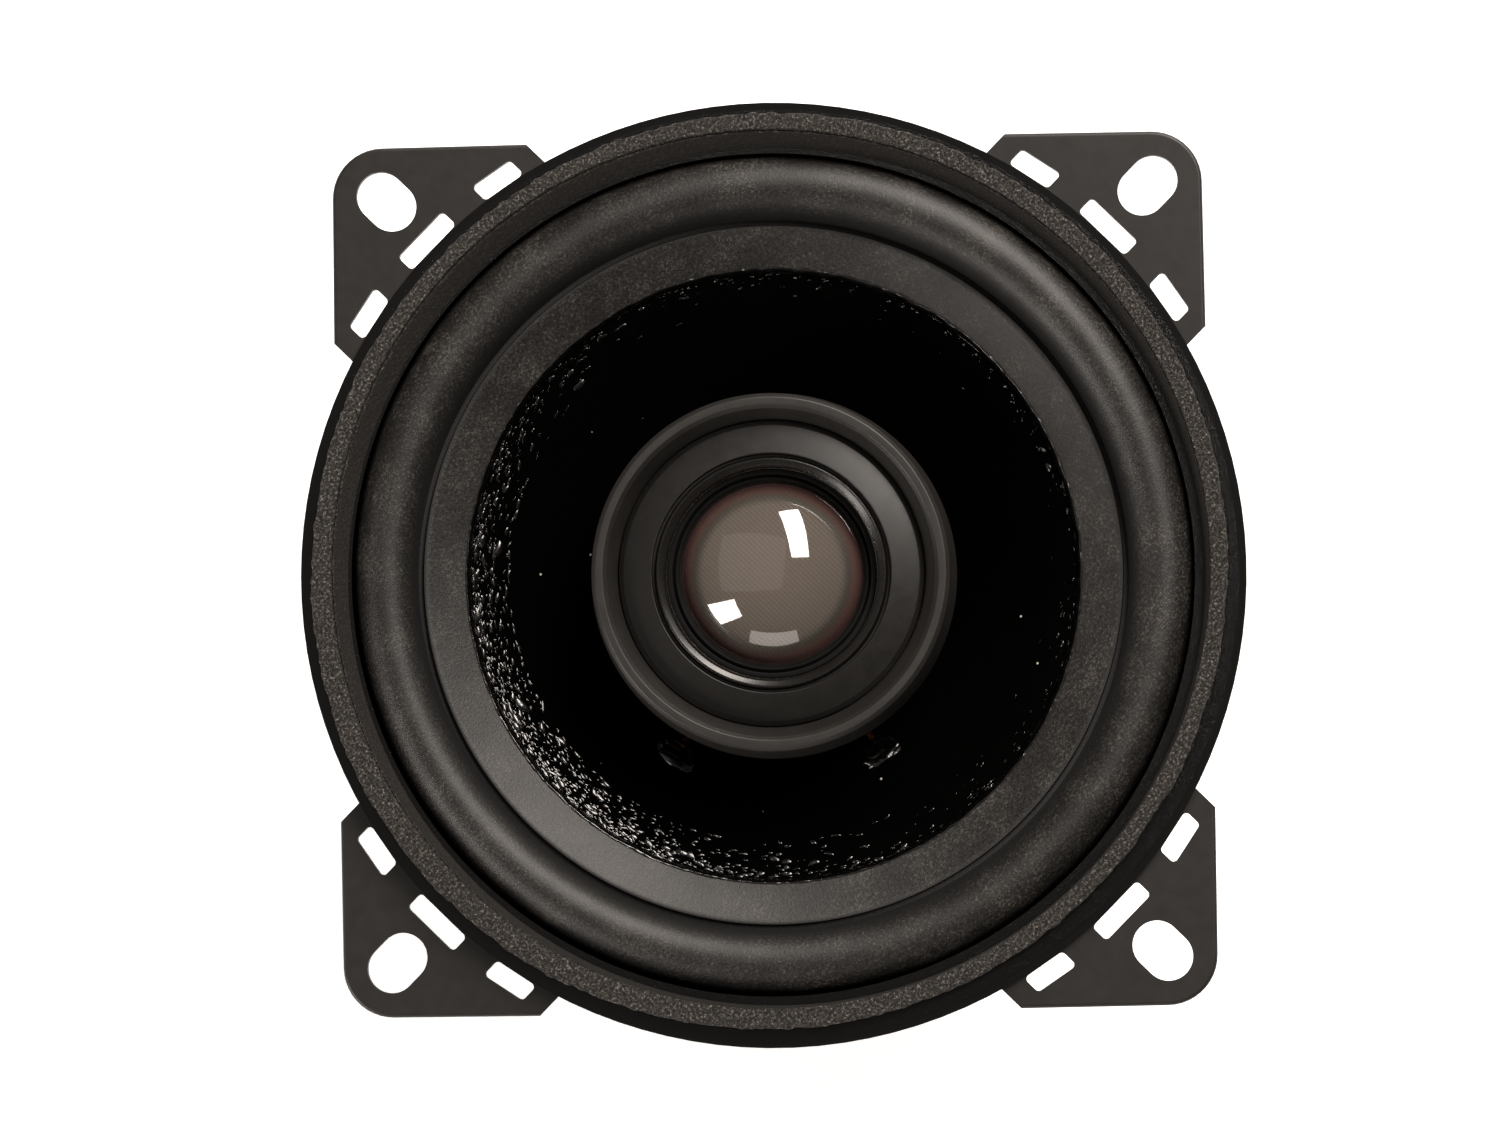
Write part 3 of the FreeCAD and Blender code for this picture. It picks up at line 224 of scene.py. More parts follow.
def lathe(name, outline, around, shift=None, sharp=35):
    """A solid turned from a closed outline. shift(points) may move its points."""
    points = turned_points(outline, around).reshape(-1, 3)
    if shift:
        points = shift(points)
    piece = mesh_object(name, points, turned_faces(around, len(outline)), sharp)
    fix_mesh(piece)
    return piece


def sheet(line, thick):
    """Closed outline of a sheet: the line of its front, and the same line lower down."""
    return line + [(r, z - thick) for r, z in reversed(line)]


def raised(points, heights):
    """The points, each lifted by its height."""
    return points + np.outer(heights, (0, 0, 1))


def add_part(points, faces, new_points, new_faces):
    """Add another mesh to these lists of points and faces."""
    first = len(points)
    faces += [tuple(first + k for k in face) for face in new_faces]
    points += [tuple(point) for point in new_points]


def fix_mesh(piece):
    """Join points that coincide, as at the axis, and turn all faces outward."""
    work = bmesh.new()
    work.from_mesh(piece.data)
    bmesh.ops.remove_doubles(work, verts=work.verts, dist=1e-7)
    bmesh.ops.dissolve_degenerate(work, edges=work.edges, dist=1e-8)
    bmesh.ops.recalc_face_normals(work, faces=work.faces)
    work.to_mesh(piece.data)
    work.free()


def unit_ball(rings, sides):
    """Points and faces of a ball of radius 1 with its poles on Z."""
    tilts = np.pi * np.arange(1, rings) / rings
    turns = 2 * np.pi * np.arange(sides) / sides
    tilt, turn = (grid.ravel() for grid in np.meshgrid(tilts, turns, indexing="ij"))
    belt = np.stack([np.sin(tilt) * np.cos(turn), np.sin(tilt) * np.sin(turn), np.cos(tilt)], 1)
    points = np.concatenate([[(0, 0, 1.0)], belt, [(0, 0, -1.0)]])
    faces = [(0, 1 + k, 1 + (k + 1) % sides) for k in range(sides)]
    for ring in range(rings - 2):
        a, b = 1 + ring * sides, 1 + (ring + 1) * sides
        faces += [(a + k, b + k, b + (k + 1) % sides, a + (k + 1) % sides) for k in range(sides)]
    end = 1 + (rings - 2) * sides
    faces += [(end + k, len(points) - 1, end + (k + 1) % sides) for k in range(sides)]
    return points, faces


def soften(points, rounds):
    """A smooth route: the points' corners are cut again and again."""
    points = [Vector(point) for point in points]
    for _ in range(rounds):
        cut = [points[0]]
        for start, end in zip(points, points[1:]):
            cut += [start.lerp(end, 0.25), start.lerp(end, 0.75)]
        points = cut + [points[-1]]
    return points


def sweep(route, radius, sides, wind):
    """Points and faces of a round tube along a route. wind(length) offsets its centre."""
    points, faces = [], []
    across = None
    length = 0.0
    for index, here in enumerate(route):
        ahead = route[min(index + 1, len(route) - 1)]
        back = route[max(index - 1, 0)]
        along = (ahead - back).normalized()
        if across is None:
            across = along.orthogonal().normalized()
        across = (across - along * across.dot(along)).normalized()
        other = along.cross(across)
        length += (here - back).length
        side, up = wind(length)
        centre = here + across * side + other * up
        for k in range(sides):
            turn = 2 * math.pi * k / sides
            spoke = across * math.cos(turn) + other * math.sin(turn)
            points.append(centre + spoke * radius)
    for ring in range(len(route) - 1):
        a, b = ring * sides, (ring + 1) * sides
        for k in range(sides):
            n = (k + 1) % sides
            faces.append((a + k, a + n, b + n, b + k))
    faces.append(tuple(range(sides))[::-1])
    faces.append(tuple(range(len(points) - sides, len(points))))
    return points, faces


# Small tools for materials


class Look:
    """A material with one Principled shader, and short ways to add nodes to it.

    Sizes, pitches and depths are in millimetres.
    """

    def __init__(self, name, **inputs):
        self.material = bpy.data.materials.new(name)
        self.material.use_nodes = True
        self.tree = self.material.node_tree
        self.shader = self.tree.nodes["Principled BSDF"]
        self.place = self.tree.nodes.new("ShaderNodeTexCoord").outputs["Object"]
        for socket, value in inputs.items():
            self.set(socket.replace("_", " "), value)

    def set(self, socket, value):
        """Set or link one of the shader's sockets."""
        self.put(self.shader.inputs[socket], value)

    def put(self, socket, value):
        """Link a socket to an output, or give it a plain value."""
        if isinstance(value, bpy.types.NodeSocket):
            self.tree.links.new(value, socket)
        elif socket.type == "RGBA" and len(value) == 3:
            socket.default_value = (*value, 1)
        else:
            socket.default_value = value

    def node(self, kind, inputs=(), **settings):
        """A new node with some inputs, by name or number, and settings."""
        node = self.tree.nodes.new("ShaderNode" + kind)
        for key, value in settings.items():
            setattr(node, key, value)
        for key, value in dict(inputs).items():
            self.put(node.inputs[key], value)
        return node

    def scaled(self, stretch):
        """The object's coordinates, stretched."""
        return self.node("Mapping", {"Vector": self.place, "Scale": stretch}).outputs[0]

    def noise(self, size, detail=3.0, rough=0.6, stretch=(1, 1, 1)):
        """Noise from 0 to 1 with features of this size."""
        inputs = {"Vector": self.scaled(stretch), "Scale": 1 / (size * MM)}
        inputs |= {"Detail": detail, "Roughness": rough}
        return self.node("TexNoise", inputs).outputs[0]

    def cells(self, size):
        """Distance to the nearest of many scattered points."""
        inputs = {"Vector": self.place, "Scale": 1 / (size * MM)}
        return self.node("TexVoronoi", inputs).outputs["Distance"]

    def ramp(self, factor, *stops):
        """A colour ramp with (position, colour) stops."""
        node = self.node("ValToRGB", {"Fac": factor})
        ramp = node.color_ramp
        while len(ramp.elements) < len(stops):
            ramp.elements.new(0.5)
        for element, (position, colour) in zip(ramp.elements, stops):
            element.position = position
            element.color = (*colour, 1)
        return node.outputs[0]

    def remap(self, factor, low, high, start=0.0, end=1.0):
        """A factor from start..end mapped to low..high."""
        inputs = {0: factor, 1: start, 2: end, 3: low, 4: high}
        return self.node("MapRange", inputs).outputs[0]

    def sum(self, first, second, kind="ADD"):
        """Two numbers added, multiplied and so on."""
        return self.node("Math", {0: first, 1: second}, operation=kind).outputs[0]

    def mix(self, factor, first, second):
        """Two colours mixed by a factor."""
        node = self.node("Mix", {"Factor": factor}, data_type="RGBA")
        self.put(node.inputs[6], first)
        self.put(node.inputs[7], second)
        return node.outputs[2]

    def relief(self, height, depth, under=None):
        """A bump of this depth, on top of another one."""
        inputs = {"Height": height, "Distance": depth * MM, "Strength": 1.0}
        if under is not None:
            inputs["Normal"] = under
        return self.node("Bump", inputs).outputs[0]

    def height(self):
        """Height above the mounting plane."""
        return self.node("SeparateXYZ", {0: self.place}).outputs[2]

    def radius(self):
        """Distance from the part's axis."""
        flat = self.scaled((1, 1, 0))
        return self.node("VectorMath", {0: flat}, operation="LENGTH").outputs["Value"]

    def waves(self, pitch):
        """Sine waves along X and along Y."""
        parts = self.node("SeparateXYZ", {0: self.place}).outputs
        turns = [self.sum(parts[k], 2 * math.pi / (pitch * MM), "MULTIPLY") for k in (0, 1)]
        return [self.sum(turn, 0.0, "SINE") for turn in turns]

    def paint(self, factor, low, high, start=0.3, end=0.7):
        """Base colour low..high for a factor from start..end."""
        self.set("Base Color", self.ramp(factor, (start, low), (end, high)))

    def roughen(self, factor, low, high, start=0.3, end=0.7):
        """Roughness low..high for a factor from start..end."""
        self.set("Roughness", self.remap(factor, low, high, start, end))

    def emboss(self, height, depth, under=None):
        """The surface's relief."""
        self.set("Normal", self.relief(height, depth, under))


def grey(value, warmth=0.1):
    """A slightly warm grey."""
    return (value * (1 + warmth), value, value * (1 - warmth))


def speckled(name, low, high, size, rough, depth, grain, level):
    """A matt material whose colour and roughness vary, with a fine grain."""
    look = Look(name, Specular_IOR_Level=level)
    look.paint(look.noise(size), low, high)
    look.roughen(look.noise(size / 3), *rough)
    look.emboss(look.noise(grain, 2.0), depth)
    return look


def painted_steel():
    """Satin black paint with a faint orange peel; the raised flange round the gasket is glossier,
    and painted near-black as shade.
    """
    look = Look("painted_steel", Specular_IOR_Level=0.42)
    # Painted shade: on the flange top beside the gasket, above 1.6 mm, the colour goes near-black
    # and the paint glossier.
    glued = look.remap(look.height(), 0.0, 1.0, 1.25 * MM, 1.6 * MM)
    cloud = look.ramp(look.noise(9), (0.3, grey(0.0085)), (0.7, grey(0.0100)))
    look.set("Base Color", look.mix(glued, cloud, grey(0.0008)))
    paint = look.remap(look.noise(1.5), 0.42, 0.50, 0.3, 0.7)
    look.set("Roughness", look.sum(paint, look.remap(glued, 1.0, 0.45), "MULTIPLY"))
    peel = look.relief(look.noise(0.5, 2.0), 0.006)
    look.emboss(look.noise(0.1, 1.0), 0.002, peel)
    return look


def gasket_foam():
    """Fibrous dark foam with light fibres and pores, and a smoother skin on its inner side."""
    look = Look("gasket_foam", Specular_IOR_Level=0.3, Roughness=0.85)
    fibre = look.noise(0.30, 4.0, 0.85)
    colour = look.ramp(
        fibre, (0.38, grey(0.002)), (0.50, grey(0.014)), (0.57, grey(0.045)), (0.66, grey(0.20))
    )
    skin = look.remap(look.height(), 0.85, 0.0, *GASKET_SKIN)
    look.set("Base Color", look.mix(skin, colour, grey(0.011)))
    look.emboss(fibre, 0.05, look.relief(look.noise(0.5, 4.0, 0.7), 0.20))
    return look


def surround_rubber():
    """Matt rubber with a sandy grain and a little bloom, painted black as shade at the roll's feet
    and lip.
    """
    look = Look("surround_rubber", Specular_IOR_Level=0.45)
    bloom = look.noise(5, 4.0)
    grain = look.noise(0.32, 3.0, 0.9)
    shade = look.sum(look.remap(bloom, 0.0, 0.4), look.remap(grain, 0.0, 0.9))
    dust = look.ramp(
        shade, (0.45, grey(0.001)), (0.62, grey(0.006)), (0.72, grey(0.016)), (0.82, grey(0.060))
    )
    radius = look.radius()
    # Painted shade: black in the groove at the roll's inner foot (36.9 to 39.4 mm) and at its
    # outer foot and lip (from 44 mm); their roughness changes too.
    groove_shade_outer = look.remap(radius, 1.0, 0.0, 38.2 * MM, 39.4 * MM)
    groove_shade_inner = look.remap(radius, 0.0, 1.0, 36.9 * MM, ROLL_IN)
    foot = look.sum(groove_shade_outer, groove_shade_inner, "MULTIPLY")
    lip = look.remap(radius, 0.0, 1.0, 44.0 * MM, 44.6 * MM)
    dark = look.sum(foot, lip, "MAXIMUM")
    look.set("Base Color", look.mix(dark, dust, grey(0.001)))
    rough = look.sum(look.remap(grain, 0.42, 0.54, 0.3, 0.7), look.remap(foot, 0.0, 0.2))
    look.set("Roughness", look.sum(rough, look.remap(lip, 1.0, 0.35), "MULTIPLY"))
    look.emboss(grain, 0.045)
    return look


def cone_paper():
    """Black pulp with short fibres and a few light specks of dust."""
    look = Look("cone_paper", Specular_IOR_Level=0.01)
    fibre = look.noise(0.6, 5.0, 0.7, stretch=(1, 1, 0.4))
    dust = look.remap(look.cells(3.4), 1.0, 0.0, 0.025, 0.045)
    black = look.ramp(fibre, (0.3, grey(0.0001)), (0.8, grey(0.0005)))
    look.set("Base Color", look.mix(dust, black, grey(0.45)))
    look.roughen(fibre, 0.78, 0.95, 0, 1)
    look.emboss(fibre, 0.03)
    return look


def black_adhesive():
    """Dried black adhesive, glossy and lumpy."""
    look = Look("black_adhesive", Specular_IOR_Level=0.9)
    look.paint(look.noise(0.8), grey(0.0004), grey(0.0012), 0.3, 0.8)
    look.roughen(look.noise(1.2), 0.13, 0.27, 0.35, 0.65)
    look.emboss(look.noise(0.35), 0.03)
    return look


def soaked_paper():
    """Cone paper soaked with adhesive: black and dull, with a slight waviness."""
    look = Look("soaked_paper", Specular_IOR_Level=0.01)
    patches = look.noise(0.7, 4.0)
    look.paint(patches, grey(0.0001), grey(0.0007), 0.3, 0.8)
    look.roughen(patches, 0.7, 0.9, 0.35, 0.65)
    look.emboss(patches, 0.06)
    return look


def housing_plastic():
    """Satin moulded plastic with fine texture and a little dust."""
    rough = (0.42, 0.50)
    return speckled("housing_plastic", grey(0.010), grey(0.014), 6, rough, 0.005, 0.12, 0.5)


def soft_black():
    """Soft black damping rubber of the tweeter's surround and clamp ring."""
    rough = (0.6, 0.75)
    return speckled("soft_black", grey(0.001), grey(0.002), 2, rough, 0.004, 0.15, 0.15)


def face_plastic():
    """Smooth moulded plastic of the tweeter's face plate, polished on the ridge near the dome."""
    look = Look("face_plastic", Specular_IOR_Level=0.42)
    dust = look.noise(0.14, 2.0, 0.8)
    look.paint(dust, grey(0.003), grey(0.009), 0.35, 0.70)
    polish = look.remap(look.radius(), 0.70, 1.0, 12.3 * MM, 12.5 * MM)
    rough = look.remap(look.noise(1.7), 0.35, 0.42, 0.3, 0.7)
    look.set("Roughness", look.sum(rough, polish, "MULTIPLY"))
    look.emboss(dust, 0.004)
    return look


def dome_film(radius):
    """Clear glossy film with a brown tint that turns red towards its rim."""
    look = Look("dome_film", Roughness=0.04, IOR=2.6, Alpha=0.5)
    share = look.sum(look.radius(), radius, "DIVIDE")
    tint = look.ramp(
        share,
        (0.0, (0.150, 0.122, 0.104)),
        (0.76, (0.140, 0.118, 0.098)),
        (0.85, (0.070, 0.066, 0.057)),
        (0.92, (0.100, 0.054, 0.047)),
        (1.0, (0.050, 0.022, 0.024)),
    )
    look.set("Base Color", tint)
    look.emboss(look.noise(4, 1.0), 0.002)
    return look


def dome_cloth():
    """Fine silk weave, resin treated: its threads along Y stand out over those along X."""
    look = Look("dome_cloth", Roughness=0.6, Specular_IOR_Level=0.4)
    strong, weak = look.waves(CLOTH_PITCH / MM)
    cross = look.sum(strong, look.sum(weak, WEAK_THREADS, "MULTIPLY"))
    weave = look.remap(cross, 0.0, 1.0, -1 - WEAK_THREADS, 1 + WEAK_THREADS)
    colour = look.ramp(weave, (0.0, (0.075, 0.062, 0.050)), (1.0, (0.36, 0.32, 0.28)))
    stain = look.remap(look.noise(5), 0.0, 0.30, 0.4, 0.7)
    rim = look.remap(look.radius(), 0.0, 0.85, 7.4 * MM, 8.3 * MM)
    dark = look.sum(stain, rim, "MAXIMUM")
    look.set("Base Color", look.mix(dark, colour, (0.10, 0.085, 0.070)))
    look.emboss(weave, 0.03)
    return look


def spider_weave():
    """Resin-treated cotton weave, tan, darker where the resin is thick."""
    look = Look("spider_weave", Roughness=0.75, Specular_IOR_Level=0.3)
    cross = look.sum(*look.waves(1.1), "MULTIPLY")
    weave = look.remap(cross, 0.0, 1.0, -1.0, 1.0)
    thread = look.ramp(weave, (0.0, (0.16, 0.095, 0.035)), (1.0, (0.52, 0.36, 0.15)))
    resin = look.remap(look.noise(6), 0.0, 0.5, 0.4, 0.7)
    look.set("Base Color", look.mix(resin, thread, (0.25, 0.15, 0.05)))
    look.emboss(weave, 0.12)
    return look


def zinc_steel():
    """Zinc-plated steel with faint rolling lines and a pale bloom."""
    look = Look("zinc_steel", Metallic=1.0)
    look.paint(look.noise(4, 4.0), (0.52, 0.50, 0.45), (0.68, 0.68, 0.66))
    lines = look.noise(0.5, stretch=(0.08, 1, 1))
    look.roughen(lines, 0.28, 0.48)
    look.emboss(lines, 0.006)
    return look


def sintered_ferrite():
    """Dark grey ferrite, ground, with pits and lighter rubbed spots."""
    look = Look("sintered_ferrite", Specular_IOR_Level=0.5)
    look.paint(look.noise(7, 5.0), grey(0.016, 0.0), grey(0.040, 0.0), 0.3, 0.75)
    pits = look.noise(0.45, 4.0, 0.7)
    look.roughen(pits, 0.42, 0.7)
    look.emboss(pits, 0.03)
    return look


def enamelled_copper(name="enamelled_copper", shade=1.0):
    """Copper wire under clear enamel, or darker under brown enamel."""
    look = Look(name, Metallic=1.0, Coat_Weight=0.6, Coat_Roughness=0.15)
    low, high = Vector((0.50, 0.17, 0.07)) * shade, Vector((0.68, 0.28, 0.12)) * shade
    look.paint(look.noise(2), low, high)
    look.roughen(look.noise(0.4), 0.22, 0.38, 0, 1)
    return look


def rolled_aluminium():
    """Thin rolled aluminium."""
    look = Look("rolled_aluminium", Metallic=1.0)
    lines = look.noise(0.4, stretch=(1, 1, 0.1))
    look.paint(lines, grey(0.62, 0.0), grey(0.80, 0.0))
    look.roughen(lines, 0.25, 0.42)
    return look


def nickel_steel():
    """Nickel-plated steel of the tweeter's motor."""
    look = Look("nickel_steel", Metallic=1.0)
    look.paint(look.noise(2), (0.50, 0.47, 0.42), (0.62, 0.59, 0.54))
    look.roughen(look.noise(0.6), 0.2, 0.36)
    return look


def fibre_board():
    """Brown phenolic paper board with pale fibres."""
    look = Look("fibre_board", Specular_IOR_Level=0.4)
    fibre = look.noise(0.7, 5.0, 0.7, stretch=(1, 1, 0.25))
    dark, brown, pale = (0.085, 0.035, 0.012), (0.16, 0.075, 0.026), (0.27, 0.15, 0.06)
    look.set("Base Color", look.ramp(fibre, (0.25, dark), (0.55, brown), (0.8, pale)))
    look.roughen(fibre, 0.42, 0.65, 0, 1)
    look.emboss(fibre, 0.012)
    return look


def tinned_brass():
    """Tin-plated brass with soft wiping marks."""
    look = Look("tinned_brass", Metallic=1.0)
    marks = look.noise(0.6, stretch=(1, 1, 0.12))
    look.paint(marks, (0.60, 0.57, 0.49), (0.80, 0.78, 0.71))
    look.roughen(marks, 0.22, 0.42)
    look.emboss(marks, 0.006)
    return look


def capacitor_sleeve():
    """Shrunk dark blue sleeve."""
    look = Look("capacitor_sleeve", Coat_Weight=0.5, Coat_Roughness=0.1)
    cloud = look.noise(3)
    look.paint(cloud, (0.010, 0.022, 0.070), (0.016, 0.036, 0.105))
    look.roughen(cloud, 0.25, 0.38, 0, 1)
    look.emboss(look.noise(0.9), 0.01)
    return look


def hot_melt():
    """Milky hot-melt adhesive."""
    look = Look("hot_melt", Subsurface_Weight=0.6, Subsurface_Scale=1.0 * MM)
    cloud = look.noise(1.2)
    look.paint(cloud, (0.55, 0.47, 0.30), (0.74, 0.68, 0.50))
    look.roughen(cloud, 0.2, 0.35, 0, 1)
    look.emboss(look.noise(1.0), 0.08)
    return look


def insulation(name, low, high):
    """Soft plastic round a wire."""
    look = Look(name)
    look.paint(look.noise(2), low, high)
    look.roughen(look.noise(0.5), 0.32, 0.46, 0, 1)
    look.emboss(look.noise(0.4), 0.006)
    return look


def bare_tinsel():
    """Fine braided copper with a tarnish."""
    look = Look("bare_tinsel", Metallic=1.0)
    look.paint(look.noise(0.9, 4.0), (0.38, 0.19, 0.09), (0.72, 0.45, 0.27))
    look.roughen(look.noise(0.3), 0.3, 0.5, 0, 1)
    return look


# The stage: floor, lights and camera


def add_floor():
    """A large pale floor under the magnet."""
    half, low = 2.5, CAD_BOX[0][2]
    corners = [(-half, -half, low), (half, -half, low), (half, half, low), (-half, half, low)]
    floor = mesh_object("floor", corners, [(0, 1, 2, 3)])
    look = Look(
        "floor_white", Base_Color=(0.9, 0.9, 0.9), Roughness=0.9, Specular_IOR_Level=0.1,
        Emission_Color=(1, 1, 1), Emission_Strength=0.6,
    )
    floor.data.materials.append(look.material)


def stand(name, data, outward, place):
    """Put a light or camera at a place, its back turned outward and its top as the picture's."""
    upward = (UP - outward * UP.dot(outward)).normalized()
    turn = Matrix((upward.cross(outward), upward, outward)).transposed().to_4x4()
    holder = bpy.data.objects.new(name, data)
    bpy.context.scene.collection.objects.link(holder)
    holder.matrix_world = Matrix.Translation(place) @ turn
    return holder


def add_softbox(name, direction, width, height, power):
    """A softbox in a direction of the picture, turned to face the speaker."""
    light = bpy.data.lights.new(name, "AREA")
    light.shape = "RECTANGLE"
    light.size, light.size_y = width, height
    light.energy = power
    light.color = LIGHT_COLOUR
    right, up, front = direction
    outward = (RIGHT * right + UP * up + FRONT * front).normalized()
    stand(name, light, outward, outward * LIGHT_AWAY)


def add_lights():
    """A tall softbox above, one low at the left, weak ones below and in front, a dim room."""
    for light in LIGHTS:
        add_softbox(*light)
    world = bpy.data.worlds.new("room")
    bpy.context.scene.world = world
    world.use_nodes = True
    room = world.node_tree.nodes["Background"]
    room.inputs["Color"].default_value = ROOM_COLOUR
    room.inputs["Strength"].default_value = ROOM_STRENGTH


def add_camera():
    """The camera looks at the front from slightly off the axis, towards the -Y ear."""
    data = bpy.data.cameras.new("camera")
    data.lens = CAMERA_LENS
    data.sensor_width = 36
    target = RIGHT * AIM_RIGHT + UP * AIM_UP
    away = (RIGHT - UP).normalized() * math.sin(CAMERA_TILT) + FRONT * math.cos(CAMERA_TILT)
    scene = bpy.context.scene
    scene.camera = stand("camera", data, away, target + away * CAMERA_AWAY)
    scene.view_settings.view_transform = "Standard"


# Putting pieces on the frame


def finish_piece(piece, look, slot, body, *nodes):
    """Give a piece its material, hide its CAD nodes and put it on a body; slot is not used."""
    piece.data.materials.append(look.material)
    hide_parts(*nodes)
    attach(piece, body)


def finish_moving(piece, look, slot, mover, inner, outer, *nodes):
    """Give a moving piece its material, hide its CAD nodes and bake its placement; slot, mover,
    inner and outer are not used.
    """
    piece.data.materials.append(look.material)
    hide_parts(*nodes)
    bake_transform(piece)
    count = len(piece.data.vertices)
    points = np.empty(count * 3, np.float32)
    piece.data.vertices.foreach_get("co", points)


def repaint(look, *nodes):
    """Give CAD nodes another material."""
    for node in nodes:
        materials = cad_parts[node].data.materials
        materials.clear()
        materials.append(look.material)


def radial(points):
    """Distance of each point from the axis."""
    return np.hypot(points[:, 0], points[:, 1])


def bearing(points):
    """Angle of each point round the axis."""
    return np.arctan2(points[:, 1], points[:, 0])


def levels(node, unit=1.0):
    """Outer radius, bottom and top of a round CAD node, in metres or another unit."""
    low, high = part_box(node)
    return high.x / unit, low.z / unit, high.z / unit


def in_metres(outline):
    """An outline given in millimetres."""
    return [(r * MM, z * MM) for r, z in outline]


# The front: gasket, surround and cone


def make_gasket():
    """Foam ring, cut roughly, its inner side sloping where it is glued on off centre."""
    outer, low, high = levels("front_gasket")
    inner, edge = 45.3 * MM, 46.3 * MM
    skin_low, skin_high = GASKET_SKIN
    outline = [
        (inner, low), (edge - 0.12 * MM, skin_high, 0.08 * MM), (edge - 0.09 * MM, skin_low),
        (edge, high, 0.06 * MM), (outer, high, 0.3 * MM), (outer - 0.25 * MM, low),
    ]
    outline = refine(round_corners(outline, 0), 0.22 * MM)

    # Radii in millimetres and angles as in the picture, where right is 0 degrees and up is 90.
    bore, bore_right, bore_up = 45.55, 0.35, -0.20
    slope_least, slope_more, slope_angle = 0.10, 0.95, math.radians(125)
    rim_shift, rim_oval = 0.33, 0.25

    def shift(points):
        radii, angles = radial(points), bearing(points)
        seen = angles - PICTURE_TURN
        inside = (bore + bore_right * np.cos(seen) + bore_up * np.sin(seen)) * MM
        slope = (slope_least + slope_more * (1 + np.cos(seen - slope_angle))) * MM
        moved_rim = rim_shift * (np.sin(seen) - np.cos(seen)) + rim_oval * np.sin(2 * seen)
        outside = outer + moved_rim * MM
        on_slope = inside + (radii - inner) / (edge - inner) * slope
        top_share = (radii - edge) / (outer - edge)
        on_top = inside + slope + top_share * (outside - inside - slope)
        cut = smooth(radii, outer - 0.9 * MM, outer)
        above = smooth(points[:, 2], high - 0.5 * MM, high - 0.1 * MM)
        rough = 0.12 * bump_noise(points, 2.6 * MM, 1) + 0.14 * bump_noise(points, 0.7 * MM, 2)
        inward = np.clip(rough + 0.15, 0, 1) * cut * MM
        grain = 0.10 * bump_noise(points, 0.45 * MM, 3) + 0.07 * bump_noise(points, 1.3 * MM, 4)
        sunk = np.clip(0.10 + grain, 0, 1) * above * MM
        radii = np.where(radii < edge, on_slope, on_top) - inward
        heights = points[:, 2] - sunk
        return np.stack([radii * np.cos(angles), radii * np.sin(angles), heights], axis=1)

    piece = lathe("foam_gasket", outline, 1100, shift, sharp=60)
    finish_piece(piece, gasket_foam(), "foam", "frame", "front_gasket")


def roll_arc(wall):
    """The roll's section from its outer foot to its inner one, this far inside its front."""
    outer, inner = ROLL_OUT - wall, GROOVE_OUT + wall
    middle, half = (outer + inner) / 2, (outer - inner) / 2
    centre_z = 0.75 * MM
    height = (ROLL_OUT - ROLL_IN) / 2 - wall
    first = math.asin((ROLL_FOOT - centre_z) / height)
    steps = 40
    result = []
    for step in range(steps + 1):
        turn = first + (math.pi - 2 * first) * step / steps
        result.append((middle + half * math.cos(turn), centre_z + height * math.sin(turn)))
    return result


def make_surround():
    """Rubber half roll with its glued lip, its landing and a narrow groove between them."""
    outer, _, _ = levels("surround")
    lip_top, lip_foot = 2.5 * MM, ROLL_OUT + RUBBER
    groove, under_groove = 0.45 * MM, 0.05 * MM
    foot = ROLL_FOOT - 0.1 * MM
    front = [(outer, lip_top), (ROLL_OUT + 0.12 * MM, lip_top), *roll_arc(0)]
    front += [(GROOVE_OUT - 0.12 * MM, groove), (ROLL_IN + 0.18 * MM, groove)]
    front += [(ROLL_IN + 0.02 * MM, foot), (ROLL_IN - 0.2 * MM, foot), (LAND_IN, LAND_LOW)]
    back = [(LAND_IN, LAND_LOW - RUBBER), (ROLL_IN, foot - RUBBER)]
    back += [(ROLL_IN + 0.2 * MM, under_groove), (GROOVE_OUT + 0.1 * MM, under_groove)]
    back += roll_arc(RUBBER)[::-1]
    back += [(lip_foot, ROLL_FOOT - RUBBER), (lip_foot, lip_top - RUBBER)]
    back += [(outer, lip_top - RUBBER)]
    outline = refine(front, 0.5 * MM, closed=False) + refine(back, 0.8 * MM, closed=False)

    def shift(points):
        wave = 0.02 * bump_noise(points, 9 * MM, 11) + 0.012 * bump_noise(points, 2.5 * MM, 12)
        loose = smooth(radial(points), LAND_IN, LAND_IN + 2 * MM)
        loose = loose * (1 - smooth(radial(points), ROLL_OUT - 0.5 * MM, ROLL_OUT))
        return raised(points, wave * loose * MM)

    piece = lathe("rubber_surround", outline, 360, shift, sharp=50)
    look = surround_rubber()
    finish_moving(piece, look, "surround_rubber", "woofer", ROLL_IN, ROLL_OUT, "surround")


def cone_arc_centre():
    """Centre of the cone's curved section, at its known height."""
    (r1, z1), (r2, z2) = CONE_BEND, NECK
    lift1, lift2 = z1 - CONE_ARC_Z, z2 - CONE_ARC_Z
    return (r1 * r1 - r2 * r2 + lift1 * lift1 - lift2 * lift2) / (2 * (r1 - r2)), CONE_ARC_Z


CONE_CENTRE = cone_arc_centre()
CONE_CURVE = math.dist(CONE_CENTRE, NECK)


def cone_front(radii):
    """Height of the cone's front at radii on its curve."""
    return CONE_CENTRE[1] + np.sqrt(CONE_CURVE**2 - (radii - CONE_CENTRE[0]) ** 2)


